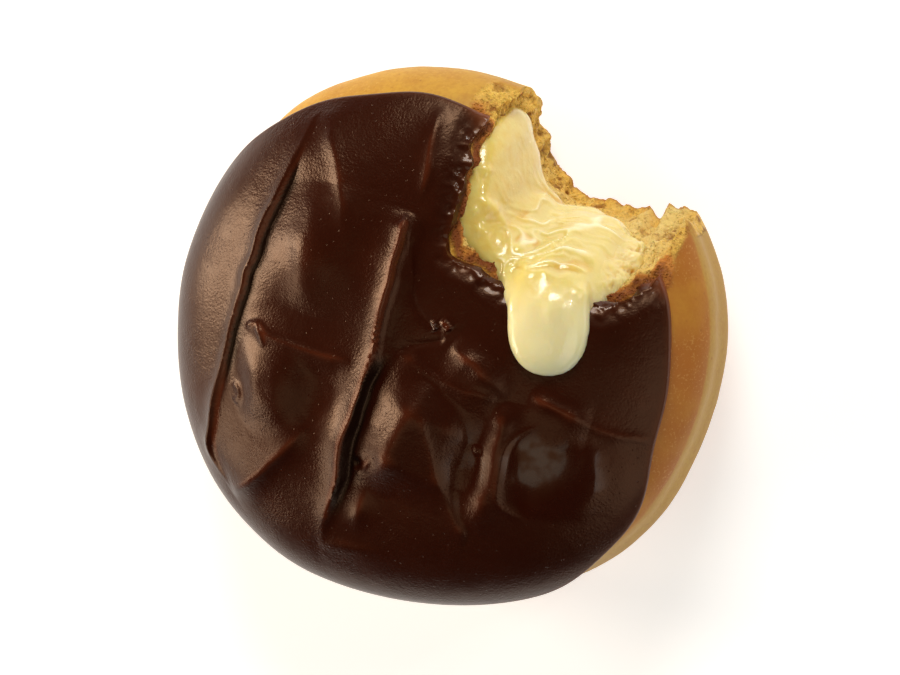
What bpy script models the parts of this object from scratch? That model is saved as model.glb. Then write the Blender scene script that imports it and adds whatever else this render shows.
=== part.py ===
"""A filled and iced doughnut with one bite taken out of it, lying flat on its base.

Three solids: the dough with its bitten edge, the custard that fills it, bulges out of the
bite and runs over the top as one thick drip, and the chocolate icing with its folds.
Seen from above, +X is to the right and +Y away; the bite is at the far right.
"""

import bmesh
import bpy
import numpy as np

MM = 0.001

# The dough, a round bun with a flat base and a pale, slightly hollow waist
DOUGH_RADIUS = 43.65 * MM
PLAN_WAVES = ((2, 0.8 * MM, 18.0), (3, 0.5 * MM, -35.0), (4, 0.5 * MM, 116.0), (5, 0.35 * MM, 101.0))
PLAN_SWELLS = ((123.0, 13.0, 1.0 * MM),)
WAIST_HEIGHT = 16.0 * MM
TOP_RISE = 18.0 * MM
TOP_POWER = 2.5
BASE_DROP = 17.5 * MM
BASE_POWER = 2.6
GROOVE_HEIGHT = 16.5 * MM
GROOVE_TILT = -3.0 * MM
GROOVE_DEPTH = 1.1 * MM
GROOVE_HALF_WIDTH = 4.5 * MM

# The bite, a slanted cone with a scallop for each tooth and a ragged wall
BITE_LOW_HEIGHT = 3.0 * MM
BITE_TOP_HEIGHT = 33.0 * MM
BITE_LOW_CENTRE = (28.9 * MM, 37.0 * MM)
BITE_TOP_CENTRE = (26.3 * MM, 26.4 * MM)
BITE_LOW_RADIUS = 17.1 * MM
BITE_TOP_RADIUS = 18.4 * MM
BITE_MIDDLE = 222.0
BITE_LOW_DENTS = ((227.0, 21.0, 2.6 * MM), (275.0, 3.0, 1.2 * MM), (285.0, 3.5, -1.6 * MM))
BITE_TOP_DENTS = ((204.0, 11.0, 1.2 * MM), (314.0, 8.0, -2.2 * MM))
TOOTH_ANGLE = 24.0
TOOTH_DEPTH = 0.9 * MM
CRAGS = ((3.4 * MM, 0.75 * MM), (1.7 * MM, 0.4 * MM))
BITE_REACH = (-6.0 * MM, 46.0 * MM)

# The icing, laid over the dough down to a wavy line
ICING_GAP = 0.45 * MM
ICING_THICKNESS = 1.6 * MM
ICING_EDGE_HEIGHT = 22.3 * MM
ICING_EDGE_TILT = (4.2 * MM, 2.2 * MM)
ICING_EDGE_WAVES = ((9, 0.3 * MM, 270.0), (14, 0.15 * MM, 10.0))
ICING_EDGE_SWAGS = (
    (338.0, 16.0, 1.2 * MM),
    (10.0, 12.0, 0.7 * MM),
    (95.0, 24.0, 2.2 * MM),
    (125.0, 14.0, 2.4 * MM),
)
ICING_BEAD = 0.07
ICING_THIN = 0.55

# How far the icing's broken edge stands back from the bite's wall, at least and where it flaked
BREAK_BACK = 0.6 * MM
BREAKS = ((200.0, 7.0, 2.0 * MM), (212.0, 8.0, 2.2 * MM), (224.0, 6.0, 1.0 * MM), (297.0, 5.0, 0.6 * MM))

# The custard: the hidden pocket, the bulge out of the bite and the drip over the icing
POCKET_CENTRE = (-2.0 * MM, -2.0 * MM, 19.0 * MM)
POCKET_HALF = (26.0 * MM, 26.0 * MM, 8.5 * MM)
BULGE_MIDDLE = 225.0
BULGE_HALF_ANGLE = 62.0
BULGE_LOW = 10.0 * MM
BULGE_TOP = 32.2 * MM
BULGE_OUT = 3.6 * MM
BULGE_ENDS = (0.7, 0.95)
BULGE_ROOT = 5.0 * MM
SPILL_ANGLE = 256.0
SPILL_HALF_ANGLE = 24.0
SPILL_RISE = 5.4 * MM
SPILL_OUT = 2.6 * MM
DRIP_MIDDLE = (21.4 * MM, 4.8 * MM)
DRIP_TIP_LENGTH = 7.6 * MM
DRIP_ROOT_LENGTH = 11.0 * MM
DRIP_ROOT_START = 7.0 * MM
DRIP_ROOT_BEND = 0.08 / MM
DRIP_HALF_WIDTH = 6.2 * MM
DRIP_THICKNESS = 3.4 * MM
CUSTARD_VOXEL = 1.1 * MM
CUSTARD_CLEARANCE = 0.4 * MM

# Folds of the icing, in millimetres: the points that the crest runs through, its height, the
# widths over which it falls off to the left and to the right of the way the points run, how
# round the crest is, and the share of the run over which each end rises
FOLDS = (
    # The long western crest, which turns in at its lower end, and the groove on its east side
    (
        (
            (-15.8, 36.5), (-21.0, 26.4), (-26.1, 14.1), (-30.9, -1.3), (-34.3, -12.6),
            (-35.0, -18.0), (-31.1, -24.3),
        ),
        1.0, 0.4, 1.4, 0.15, 0.28,
    ),
    (((-18.3, 30.3), (-23.1, 19.2), (-28.0, 6.9), (-32.5, -7.8)), -0.6, 1.4, 0.4, 0.15, 0.2),
    # The swell between the two long crests, and a soft fold over it
    (((-15.0, 25.5), (-16.2, 14.5), (-17.6, 4.5)), 2.2, 6.0, 2.7, 3.0, 0.5),
    (((-16.4, 37.0), (-13.2, 30.5), (-11.0, 22.5), (-9.4, 14.0)), 1.2, 5.5, 2.6, 0.3, 0.4),
    # The long middle crest, its upper end and the groove on its east side
    (((3.6, 36.4), (1.9, 30.5), (0.9, 22.0)), 0.7, 1.0, 1.3, 0.2, 0.4),
    (
        ((-0.1, 20.6), (-1.5, 16.0), (-4.7, 4.7), (-8.0, -5.8), (-11.1, -14.6), (-16.3, -32.0)),
        1.7, 0.6, 2.0, 0.2, 0.15,
    ),
    (((-3.9, 0.0), (-7.4, -6.5), (-10.6, -17.3), (-14.7, -27.5)), -1.1, 2.4, 0.5, 0.2, 0.25),
    # The swell east of the middle crest and the small one under it
    (((4.2, -3.8), (1.4, -7.8), (-1.6, -12.0), (-4.2, -16.8), (-6.0, -22.4)), 2.7, 5.0, 3.8, 1.6, 0.32),
    (((-7.7, -20.8), (-9.3, -25.2), (-10.9, -29.6)), 0.7, 1.5, 2.0, 0.5, 0.5),
    # Cross folds from west to east
    (((-27.9, 2.9), (-18.0, -0.2), (-9.4, -1.6)), 0.75, 0.9, 3.0, 0.25, 0.3),
    (((-32.0, -24.3), (-28.6, -22.1), (-20.5, -15.6), (-16.3, -12.0)), 1.6, 4.2, 2.0, 0.15, 0.45),
    (((-2.6, -0.4), (5.9, -3.7), (14.2, -6.2)), 0.45, 0.7, 1.8, 0.25, 0.2),
    (((6.4, 1.4), (9.2, -0.5), (12.2, -3.0), (15.8, -6.0)), 1.5, 1.8, 2.6, 0.3, 0.4),
    (((18.6, -5.5), (23.2, -8.3), (27.6, -10.3)), 1.0, 1.4, 1.8, 0.3, 0.35),
    (((25.5, -9.6), (30.8, -11.8), (36.7, -13.3)), 0.35, 0.6, 0.8, 0.2, 0.25),
    (((-17.2, -31.0), (-12.4, -31.4), (-2.9, -32.0)), 0.5, 1.2, 2.2, 0.4, 0.5),
    # The crest east of the trough and the trough's thin western rim
    (((15.9, -6.2), (14.7, -10.2), (12.8, -15.8), (10.5, -22.3), (8.4, -28.0)), 1.0, 1.6, 1.6, 0.9, 0.25),
    (((2.7, -8.5), (3.0, -15.3), (5.9, -26.2), (8.1, -28.2)), 0.4, 0.6, 2.0, 0.25, 0.2),
)

# Widths of the bends by which the folds wander from these lines, and how far they wander
FOLD_WANDER = ((7.0 * MM, 0.6 * MM), (2.8 * MM, 0.25 * MM))

# Pads and hollows of the icing, in millimetres: middle, half sizes, height, turn in degrees, and
# the shares of the half sizes between which the side falls
PADS = (
    ((21.4, -18.0), (7.5, 6.9), 0.2, -8.0, 0.75, 1.1),
    ((8.6, -17.5), (4.4, 10.0), -0.9, -14.0, 0.2, 1.15),
    ((-23.5, -6.5), (6.5, 7.5), 1.5, 0.0, 0.15, 1.1),
    ((-14.5, -6.5), (4.5, 6.5), -0.7, 0.0, 0.1, 1.2),
)

TRIANGLES = {"dough": 5200, "custard": 2600, "icing": 5400}


def hash_noise(points, cell, seed):
    """Smooth noise from -1 to 1: a random number at each corner of a lattice, blended between."""
    spot = points / cell
    corner = np.floor(spot)
    part = spot - corner
    part = part * part * (3.0 - 2.0 * part)
    corner = corner.astype(np.int64)
    total = np.zeros(points.shape[:-1])
    for step in np.ndindex(2, 2, 2):
        x, y, z = (corner[..., k] + step[k] for k in range(3))
        mixed = (x * 73856093) ^ (y * 19349663) ^ (z * 83492791) ^ (seed * 2654435761)
        mixed = ((mixed & 0xFFFFFFFF) ^ ((mixed & 0xFFFFFFFF) >> 15)) * 2246822519 & 0xFFFFFFFF
        mixed = (mixed ^ (mixed >> 13)) * 3266489917 & 0xFFFFFFFF
        value = (mixed ^ (mixed >> 16)) / float(0x7FFFFFFF) - 1.0
        weight = np.ones(points.shape[:-1])
        for k in range(3):
            weight = weight * (part[..., k] if step[k] else 1.0 - part[..., k])
        total += weight * value
    return total


def ease(low, high, value):
    """0 below low, 1 above high, and a smooth step between them."""
    share = np.clip((value - low) / (high - low), 0.0, 1.0)
    return share * share * (3.0 - 2.0 * share)


def waves(angle, table):
    """The sum of cosine waves round the doughnut: count, height and turn in degrees of each."""
    return sum(size * np.cos(count * angle - np.radians(turn)) for count, size, turn in table)


def bumps(angle, table):
    """The sum of soft bumps round a circle: place and half width in degrees, and height, of each."""
    turn = np.degrees(angle)
    return sum(
        size * np.exp(-((((turn - place + 180.0) % 360.0 - 180.0) / half) ** 2))
        for place, half, size in table
    )


def plan_radius(angle):
    """From the middle to the dough's widest line, seen from above."""
    return DOUGH_RADIUS + waves(angle, PLAN_WAVES) + bumps(angle, PLAN_SWELLS)


def dough_section(angle, tilt):
    """Radius and height of the dough's skin; tilt is a quarter turn on top and minus that below."""
    upper = tilt > 0.0
    power = np.where(upper, TOP_POWER, BASE_POWER)
    reach = np.where(upper, TOP_RISE, BASE_DROP)
    height = WAIST_HEIGHT + np.sign(tilt) * reach * np.abs(np.sin(tilt)) ** (2.0 / power)
    radius = plan_radius(angle) * np.abs(np.cos(tilt)) ** (2.0 / power)
    groove = GROOVE_HEIGHT + GROOVE_TILT * np.sin(angle)
    radius = radius - GROOVE_DEPTH * np.exp(-(((height - groove) / GROOVE_HALF_WIDTH) ** 2))
    return radius, height


def dough_skin(angle, tilt, lift=0.0):
    """A point of the dough's skin, or that point moved out by lift along the skin's normal."""
    radius, height = dough_section(angle, tilt)
    step = 0.01
    middle = np.clip(tilt, -np.pi / 2 + 2 * step, np.pi / 2 - 2 * step)
    ahead, behind = dough_section(angle, middle + step), dough_section(angle, middle - step)
    out, up = ahead[1] - behind[1], behind[0] - ahead[0]
    size = np.hypot(out, up)
    radius = radius + lift * out / size
    height = np.maximum(height, 0.0) + lift * up / size
    return np.stack([radius * np.cos(angle), radius * np.sin(angle), height], axis=-1)


def dough_top(x, y):
    """Height of the dough's upper skin over a point of the plan."""
    share = np.clip(np.hypot(x, y) / plan_radius(np.arctan2(y, x)), 0.0, 0.98)
    return WAIST_HEIGHT + TOP_RISE * (1.0 - share**TOP_POWER) ** (1.0 / TOP_POWER)


def smooth_path(points, steps=6):
    """A Catmull-Rom curve through a fold's points, in metres."""
    knots = np.array([points[0], *points, points[-1]], float) * MM
    share = np.linspace(0.0, 1.0, steps, endpoint=False)[:, None]
    spans = []
    for a, b, c, d in zip(knots, knots[1:], knots[2:], knots[3:]):
        bend = (2 * b, c - a, 2 * a - 5 * b + 4 * c - d, 3 * b - a - 3 * c + d)
        spans.append(0.5 * (bend[0] + bend[1] * share + bend[2] * share**2 + bend[3] * share**3))
    return np.concatenate([*spans, knots[-2:-1]])


def fold_height(x, y, points, height, left, right, crest, fade):
    """One fold of the icing: a rounded crest that falls off over left and right widths."""
    path = smooth_path(points)
    start, run = path[:-1], np.diff(path, axis=0)
    offset = np.stack([x, y], axis=-1)[..., None, :] - start
    share = np.clip((offset * run).sum(axis=-1) / (run**2).sum(axis=-1), 0.0, 1.0)
    offset = offset - share[..., None] * run
    away = np.hypot(offset[..., 0], offset[..., 1])
    lean = (run[:, 0] * offset[..., 1] - run[:, 1] * offset[..., 0]) / np.hypot(run[:, 0], run[:, 1])
    nearest = np.argmin(away, axis=-1)[..., None]
    away, share, lean = (np.take_along_axis(a, nearest, axis=-1)[..., 0] for a in (away, share, lean))
    lean = np.clip(lean / np.maximum(away, 1e-9), -1.0, 1.0)
    width = ((left + right) + (left - right) * lean) / 2.0 * MM
    drop = (np.sqrt(away**2 + (crest * MM) ** 2) - crest * MM) / width
    travel = (nearest[..., 0] + share) / len(run)
    return height * MM * ease(0.0, fade, travel) * ease(1.0, 1.0 - fade, travel) * np.exp(-drop)


def pad_height(x, y, middle, half, height, turn, inner, outer):
    """One pad or hollow of the icing: an oval plateau with soft sides."""
    turn = np.radians(turn)
    dx, dy = x - middle[0] * MM, y - middle[1] * MM
    u = (dx * np.cos(turn) + dy * np.sin(turn)) / (half[0] * MM)
    v = (dy * np.cos(turn) - dx * np.sin(turn)) / (half[1] * MM)
    return height * MM * (1.0 - ease(inner, outer, (np.abs(u) ** 2.6 + np.abs(v) ** 2.6) ** (1 / 2.6)))


def icing_relief(x, y):
    """Height of the icing's folds, pads and hollows, which wander a little, over its thickness."""
    flat = np.stack([x, y, 0 * x], axis=-1)
    relief = 0.25 * MM * hash_noise(flat, 11.0 * MM, 5)
    for cell, size in FOLD_WANDER:
        x = x + size * hash_noise(flat, cell, 71)
        y = y + size * hash_noise(flat, cell, 72)
    for fold in FOLDS:
        relief = relief + fold_height(x, y, *fold)
    for pad in PADS:
        relief = relief + pad_height(x, y, *pad)
    return relief


def bite_centre(height):
    """The slanted axis of the bite at a height."""
    share = (height - BITE_LOW_HEIGHT) / (BITE_TOP_HEIGHT - BITE_LOW_HEIGHT)
    low, top = np.array(BITE_LOW_CENTRE), np.array(BITE_TOP_CENTRE)
    return low + share[..., None] * (top - low)


def bite_radius(angle, height):
    """Radius of the bite's smooth wall, with a scallop for each tooth."""
    share = (height - BITE_LOW_HEIGHT) / (BITE_TOP_HEIGHT - BITE_LOW_HEIGHT)
    radius = BITE_LOW_RADIUS + share * (BITE_TOP_RADIUS - BITE_LOW_RADIUS)
    upper = np.clip(share, 0.0, 1.0)
    radius = radius + (1.0 - upper) * bumps(angle, BITE_LOW_DENTS) + upper * bumps(angle, BITE_TOP_DENTS)
    tooth = np.abs(np.sin(np.pi * (angle - np.radians(BITE_MIDDLE)) / np.radians(TOOTH_ANGLE)))
    return radius + TOOTH_DEPTH * (tooth - 0.5)


def bite_wall(angle, height, out=0.0):
    """A point of the bite's wall, moved by out towards the bite's axis."""
    reach = (bite_radius(angle, height) - out)[..., None]
    plan = bite_centre(height) + reach * np.stack([np.cos(angle), np.sin(angle)], axis=-1)
    return np.concatenate([plan, height[..., None]], axis=-1)


def icing_set_back(angle):
    """How far the icing's broken edge stands back from the bite's wall, the way round the bite."""
    return BREAK_BACK + bumps(angle, BREAKS)


def past_icing_edge(points):
    """How far a point lies past the icing's broken edge towards the bite, in metres."""
    offset = points[..., :2] - bite_centre(points[..., 2])
    angle = np.arctan2(offset[..., 1], offset[..., 0])
    edge = bite_radius(angle, points[..., 2]) + icing_set_back(angle)
    return edge - np.hypot(offset[..., 0], offset[..., 1])


def shaped_ball(name, columns, rings, shape):
    """A UV sphere whose vertices go where shape(turn, fall) says: turn is the angle round the
    sphere's axis from -pi to pi, and fall goes from 0 at the upper pole to 1 at the lower."""
    mesh = bpy.data.meshes.new(name)
    ball = bmesh.new()
    bmesh.ops.create_uvsphere(ball, u_segments=columns, v_segments=rings, radius=1.0)
    ball.to_mesh(mesh)
    ball.free()
    places = np.empty(len(mesh.vertices) * 3)
    mesh.vertices.foreach_get("co", places)
    x, y, z = places.reshape(-1, 3).T
    moved = shape(np.arctan2(y, x), np.arccos(np.clip(z, -1.0, 1.0)) / np.pi)
    mesh.vertices.foreach_set("co", moved.ravel())
    outward(mesh)
    return bpy.data.objects.new(name, mesh)


def outward(mesh):
    """Turns a closed mesh's faces outwards."""
    faces = bmesh.new()
    faces.from_mesh(mesh)
    bmesh.ops.recalc_face_normals(faces, faces=faces.faces)
    faces.to_mesh(mesh)
    faces.free()


def dough_shape(turn, fall):
    """The whole bun, before the bite."""
    return dough_skin(turn, np.pi * (0.5 - fall))


def icing_shape(turn, fall):
    """The icing's skin: down the outside from the pole to the rim, then back up the inside."""
    rim_fall = 0.76
    outer = fall <= rim_fall
    reach = np.where(outer, fall / rim_fall, (1.0 - fall) / (1.0 - rim_fall))
    edge = ICING_EDGE_HEIGHT + ICING_EDGE_TILT[0] * np.cos(turn)
    edge = edge + ICING_EDGE_TILT[1] * np.sin(turn)
    edge = edge + waves(turn, ICING_EDGE_WAVES) + bumps(turn, ICING_EDGE_SWAGS)
    rim_tilt = np.arcsin(((edge - WAIST_HEIGHT) / TOP_RISE) ** (TOP_POWER / 2.0))
    tilt = np.pi / 2 + reach * (rim_tilt - np.pi / 2)
    bare = dough_skin(turn, tilt)
    bead = np.sqrt(np.clip(1.0 - np.maximum(0.0, (reach - 1.0) / ICING_BEAD + 1.0) ** 2, 0.0, 1.0))
    near_bite = ease(-4.0 * MM, 0.5 * MM, past_icing_edge(bare))
    thickness = ICING_THICKNESS * (1.0 - ICING_THIN * near_bite)
    relief = icing_relief(bare[:, 0], bare[:, 1]) * ease(1.0, 1.0 - 3.0 * ICING_BEAD, reach)
    lift = ICING_GAP + np.where(outer, np.maximum(thickness + relief, 0.6 * MM) * bead, 0.0)
    return dough_skin(turn, tilt, lift)


def bite_cutter_shape(margin):
    """The solid that the bite removes: a cone with flat ends and a ragged wall, grown by a margin
    that depends on the way round the bite."""

    def shape(turn, fall):
        cap = 0.08
        angle = np.radians(BITE_MIDDLE) + turn * (0.6 + 0.4 * (turn / np.pi) ** 2)
        share = np.clip((fall - cap) / (1.0 - 2.0 * cap), 0.0, 1.0)
        height = BITE_REACH[1] + share * (BITE_REACH[0] - BITE_REACH[1])
        inward = np.clip(np.minimum(fall, 1.0 - fall) / cap, 0.0, 1.0)
        wall = bite_wall(angle, height)
        crag = sum(size * hash_noise(wall, cell, 11) for cell, size in CRAGS)
        reach = (bite_radius(angle, height) + margin(angle) + crag) * inward
        plan = np.stack([np.cos(angle), np.sin(angle)], axis=-1) * reach[:, None]
        return np.concatenate([bite_centre(height) + plan, height[:, None]], axis=-1)

    return shape


def rounded(value, power):
    """A unit sphere's coordinate pushed outwards, which makes the sphere boxier."""
    return np.sign(value) * np.abs(value) ** power


def sphere_point(turn, fall):
    """The unit sphere's own coordinates."""
    level = np.sin(np.pi * fall)
    return level * np.cos(turn), level * np.sin(turn), np.cos(np.pi * fall)


def pocket_shape(turn, fall):
    """The custard inside the dough, an oval cushion."""
    ball = np.stack(sphere_point(turn, fall), axis=-1)
    return np.array(POCKET_CENTRE) + ball * np.array(POCKET_HALF)


def bulge_shape(turn, fall):
    """The custard that swells out of the bite's wall, bent round the bite."""
    x, y, z = sphere_point(turn, fall)
    reach = np.where(x < 0.0, rounded(x, BULGE_ENDS[0]), rounded(x, BULGE_ENDS[1]))
    angle = np.radians(BULGE_MIDDLE + BULGE_HALF_ANGLE * reach)
    spill = np.exp(-(((np.degrees(angle) - SPILL_ANGLE) / SPILL_HALF_ANGLE) ** 4))
    top = BULGE_TOP + SPILL_RISE * spill
    height = (top + BULGE_LOW) / 2.0 + (top - BULGE_LOW) / 2.0 * rounded(z, 0.75)
    out = rounded(y, 0.7) * np.where(y > 0.0, BULGE_OUT + SPILL_OUT * spill, BULGE_ROOT)
    return bite_wall(angle, height, out)


def drip_shape(turn, fall):
    """The drip, a thick tongue laid on the icing."""
    x, y, z = sphere_point(turn, fall)
    across = DRIP_MIDDLE[0] + DRIP_HALF_WIDTH * rounded(x, 0.85)
    root = DRIP_ROOT_LENGTH * rounded(np.maximum(y, 0.0), 0.65)
    along = DRIP_MIDDLE[1] + np.where(y > 0.0, root, DRIP_TIP_LENGTH * y)
    rest = dough_top(across, along) + ICING_GAP + ICING_THICKNESS * 0.8 + icing_relief(across, along)
    rest = rest - DRIP_ROOT_BEND * np.maximum(along - DRIP_ROOT_START, 0.0) ** 2
    lift = np.where(z > 0.0, DRIP_THICKNESS * rounded(z, 0.8), 0.3 * MM * z)
    return np.stack([across, along, rest + lift], axis=-1)


def material(name, colour, roughness, coat=0.0):
    """A Principled material of one colour."""
    made = bpy.data.materials.new(name)
    made.use_nodes = True
    shader = made.node_tree.nodes["Principled BSDF"]
    shader.inputs["Base Color"].default_value = (*colour, 1.0)
    shader.inputs["Roughness"].default_value = roughness
    shader.inputs["Metallic"].default_value = 0.0
    shader.inputs["Coat Weight"].default_value = coat
    return made


def cut(obj, other, solver):
    """Cuts obj by another object."""
    modifier = obj.modifiers.new(f"without {other.name}", "BOOLEAN")
    modifier.operation = "DIFFERENCE"
    modifier.object = other
    modifier.solver = solver


def decimate(obj, triangles):
    """Thins obj's faces to about this many triangles, most where it is flattest."""
    graph = bpy.context.evaluated_depsgraph_get()
    mesh = obj.evaluated_get(graph).data
    mesh.calc_loop_triangles()
    modifier = obj.modifiers.new("fewer faces", "DECIMATE")
    modifier.ratio = min(1.0, triangles / len(mesh.loop_triangles))
    modifier.use_collapse_triangulate = True


def joined(name, objects):
    """One object that holds all the meshes of several."""
    mesh = bpy.data.meshes.new(name)
    together = bmesh.new()
    for obj in objects:
        together.from_mesh(obj.data)
        bpy.data.objects.remove(obj)
    together.to_mesh(mesh)
    together.free()
    return bpy.data.objects.new(name, mesh)


def custard_object():
    """Pocket, bulge and drip, melted into one smooth body."""
    custard = joined(
        "custard",
        [
            shaped_ball("pocket", 48, 24, pocket_shape),
            shaped_ball("bulge", 96, 64, bulge_shape),
            shaped_ball("drip", 64, 40, drip_shape),
        ],
    )
    melt = custard.modifiers.new("melt together", "REMESH")
    melt.mode = "VOXEL"
    melt.voxel_size = CUSTARD_VOXEL
    soften = custard.modifiers.new("soften", "SMOOTH")
    soften.factor = 0.5
    soften.iterations = 4
    return custard


def frozen(obj):
    """The object with its modifiers applied."""
    graph = bpy.context.evaluated_depsgraph_get()
    mesh = bpy.data.meshes.new_from_object(obj.evaluated_get(graph))
    obj.modifiers.clear()
    obj.data = mesh


def clearance_of(obj, distance):
    """A copy of obj grown by distance, to cut its neighbours with."""
    grown = bpy.data.objects.new(f"{obj.name} clearance", obj.data.copy())
    swell = grown.modifiers.new("swell", "DISPLACE")
    swell.strength = distance
    swell.mid_level = 0.0
    return grown


def main():
    """Clears the scene and builds the three solids."""
    for old in list(bpy.data.objects):
        bpy.data.objects.remove(old)
    parts = bpy.data.collections.new("filled doughnut")
    helpers = bpy.data.collections.new("cutters")
    for collection in (parts, helpers):
        bpy.context.scene.collection.children.link(collection)

    dough = shaped_ball("dough", 80, 44, dough_shape)
    icing = shaped_ball("icing", 200, 120, icing_shape)
    custard = custard_object()
    finishes = {
        "dough": material("fried dough", (0.60, 0.33, 0.09), 0.6),
        "custard": material("custard", (0.80, 0.66, 0.30), 0.25, 0.3),
        "icing": material("chocolate icing", (0.045, 0.012, 0.006), 0.3, 0.4),
    }
    for obj in (dough, icing, custard):
        parts.objects.link(obj)
        obj.data.materials.append(finishes[obj.name])

    bpy.context.view_layer.update()
    decimate(custard, TRIANGLES["custard"])
    frozen(custard)
    room = clearance_of(custard, CUSTARD_CLEARANCE)
    bite = shaped_ball("bite", 128, 44, bite_cutter_shape(np.zeros_like))
    icing_bite = shaped_ball("icing bite", 128, 44, bite_cutter_shape(icing_set_back))
    for cutter in (room, bite, icing_bite):
        helpers.objects.link(cutter)
        cutter.hide_render = True
        cutter.display_type = "WIRE"
    decimate(icing, TRIANGLES["icing"])
    for obj, cutter, solver in ((dough, bite, "EXACT"), (icing, icing_bite, "MANIFOLD")):
        cut(obj, cutter, solver)
        cut(obj, room, solver)
    bpy.context.view_layer.update()
    decimate(dough, TRIANGLES["dough"])
    for obj in parts.objects:
        obj.data.shade_smooth()


if __name__ == "__main__":
    main()
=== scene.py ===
"""Dresses a filled, iced doughnut with one bite taken out of it.

The dough, the custard and the icing are rebuilt here as fine surfaces over the plain solids of
the model, from the same named sizes: a bun with a pale waist, a bite with a torn, porous wall,
custard that swells out of the bite and drips over the top, and dark icing laid in folds.
Lengths are in metres, with MM for millimetres; +X is right, +Y away and +Z up.
"""

import logging
from collections.abc import Callable, Sequence
from dataclasses import dataclass, replace
from enum import Enum
from itertools import compress

import bmesh
import bpy
import numpy as np
from mathutils import Matrix


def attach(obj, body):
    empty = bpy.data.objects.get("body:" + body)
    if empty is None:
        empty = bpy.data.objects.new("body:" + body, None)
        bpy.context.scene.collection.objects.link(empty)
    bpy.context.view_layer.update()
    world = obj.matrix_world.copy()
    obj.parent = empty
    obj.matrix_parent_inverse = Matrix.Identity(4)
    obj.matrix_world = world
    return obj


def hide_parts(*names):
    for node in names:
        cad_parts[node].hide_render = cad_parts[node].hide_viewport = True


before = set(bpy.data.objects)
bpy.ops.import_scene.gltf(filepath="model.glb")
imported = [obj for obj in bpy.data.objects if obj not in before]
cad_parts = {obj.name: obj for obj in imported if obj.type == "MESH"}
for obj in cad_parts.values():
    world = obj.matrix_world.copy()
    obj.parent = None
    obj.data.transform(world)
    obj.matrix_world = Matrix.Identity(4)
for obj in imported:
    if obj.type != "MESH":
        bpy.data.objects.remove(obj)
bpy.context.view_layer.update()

LOG = logging.getLogger("doughnut")
MM = 0.001
MERGE_DISTANCE = 0.02 * MM
TINY = 1e-9
BODY = "root"

Points = np.ndarray
Numbers = np.ndarray
Colour = tuple[float, float, float]
Run = tuple[float, float]  # where a smooth step starts and ends


def srgb(red: int, green: int, blue: int) -> Colour:
    """The linear colour of a screen colour given as 0 to 255.

    Args:
        red: The screen colour's red.
        green: The screen colour's green.
        blue: The screen colour's blue.

    Returns:
        Linear red, green and blue from 0 to 1.
    """
    screen = np.array([red, green, blue]) / 255.0
    linear = np.where(screen <= 0.04045, screen / 12.92, ((screen + 0.055) / 1.055) ** 2.4)
    return tuple(float(part) for part in linear)


def ease(low: float, high: float, value: Numbers) -> Numbers:
    """A smooth step: 0 at low and before, 1 at high and after, 3s² - 2s³ between them.

    Args:
        low: Where the step starts.
        high: Where the step ends; it may be below low.
        value: The values to judge.

    Returns:
        The step at each value.
    """
    share = np.clip((value - low) / (high - low), 0.0, 1.0)
    return share * share * (3.0 - 2.0 * share)


def crowded(u: Numbers, shares: tuple[float, float]) -> Numbers:
    """Angles that crowd together where u is near 0: pi * (a u + b u³) for the shares a and b."""
    return np.pi * (shares[0] * u + shares[1] * u**3)


def whole_turn(angle: Numbers) -> Numbers:
    """Angles as degrees from 0 to 360."""
    return np.degrees(angle) % 360.0


def in_scene(name: str, data: bpy.types.ID) -> bpy.types.Object:
    """A new object that shows some data.

    Args:
        name: The object's name.
        data: Its mesh, light or camera.

    Returns:
        The object, linked to the scene.
    """
    made = bpy.data.objects.new(name, data)
    bpy.context.scene.collection.objects.link(made)
    return made


@dataclass(frozen=True)
class Wave:
    """One cosine wave round the doughnut: size * cos(count * angle - turn)."""

    count: int
    size: float
    turn: float

    def at(self, angle: Numbers) -> Numbers:
        """The wave's value at each angle."""
        return self.size * np.cos(self.count * angle - np.radians(self.turn))


@dataclass(frozen=True)
class Bump:
    """One soft bump on a circle: size * exp(-(degrees from place / half)²)."""

    place: float
    half: float
    size: float

    def at(self, angle: Numbers) -> Numbers:
        """The bump's value at each angle."""
        away = (np.degrees(angle) - self.place + 180.0) % 360.0 - 180.0
        return self.size * np.exp(-((away / self.half) ** 2))


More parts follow.
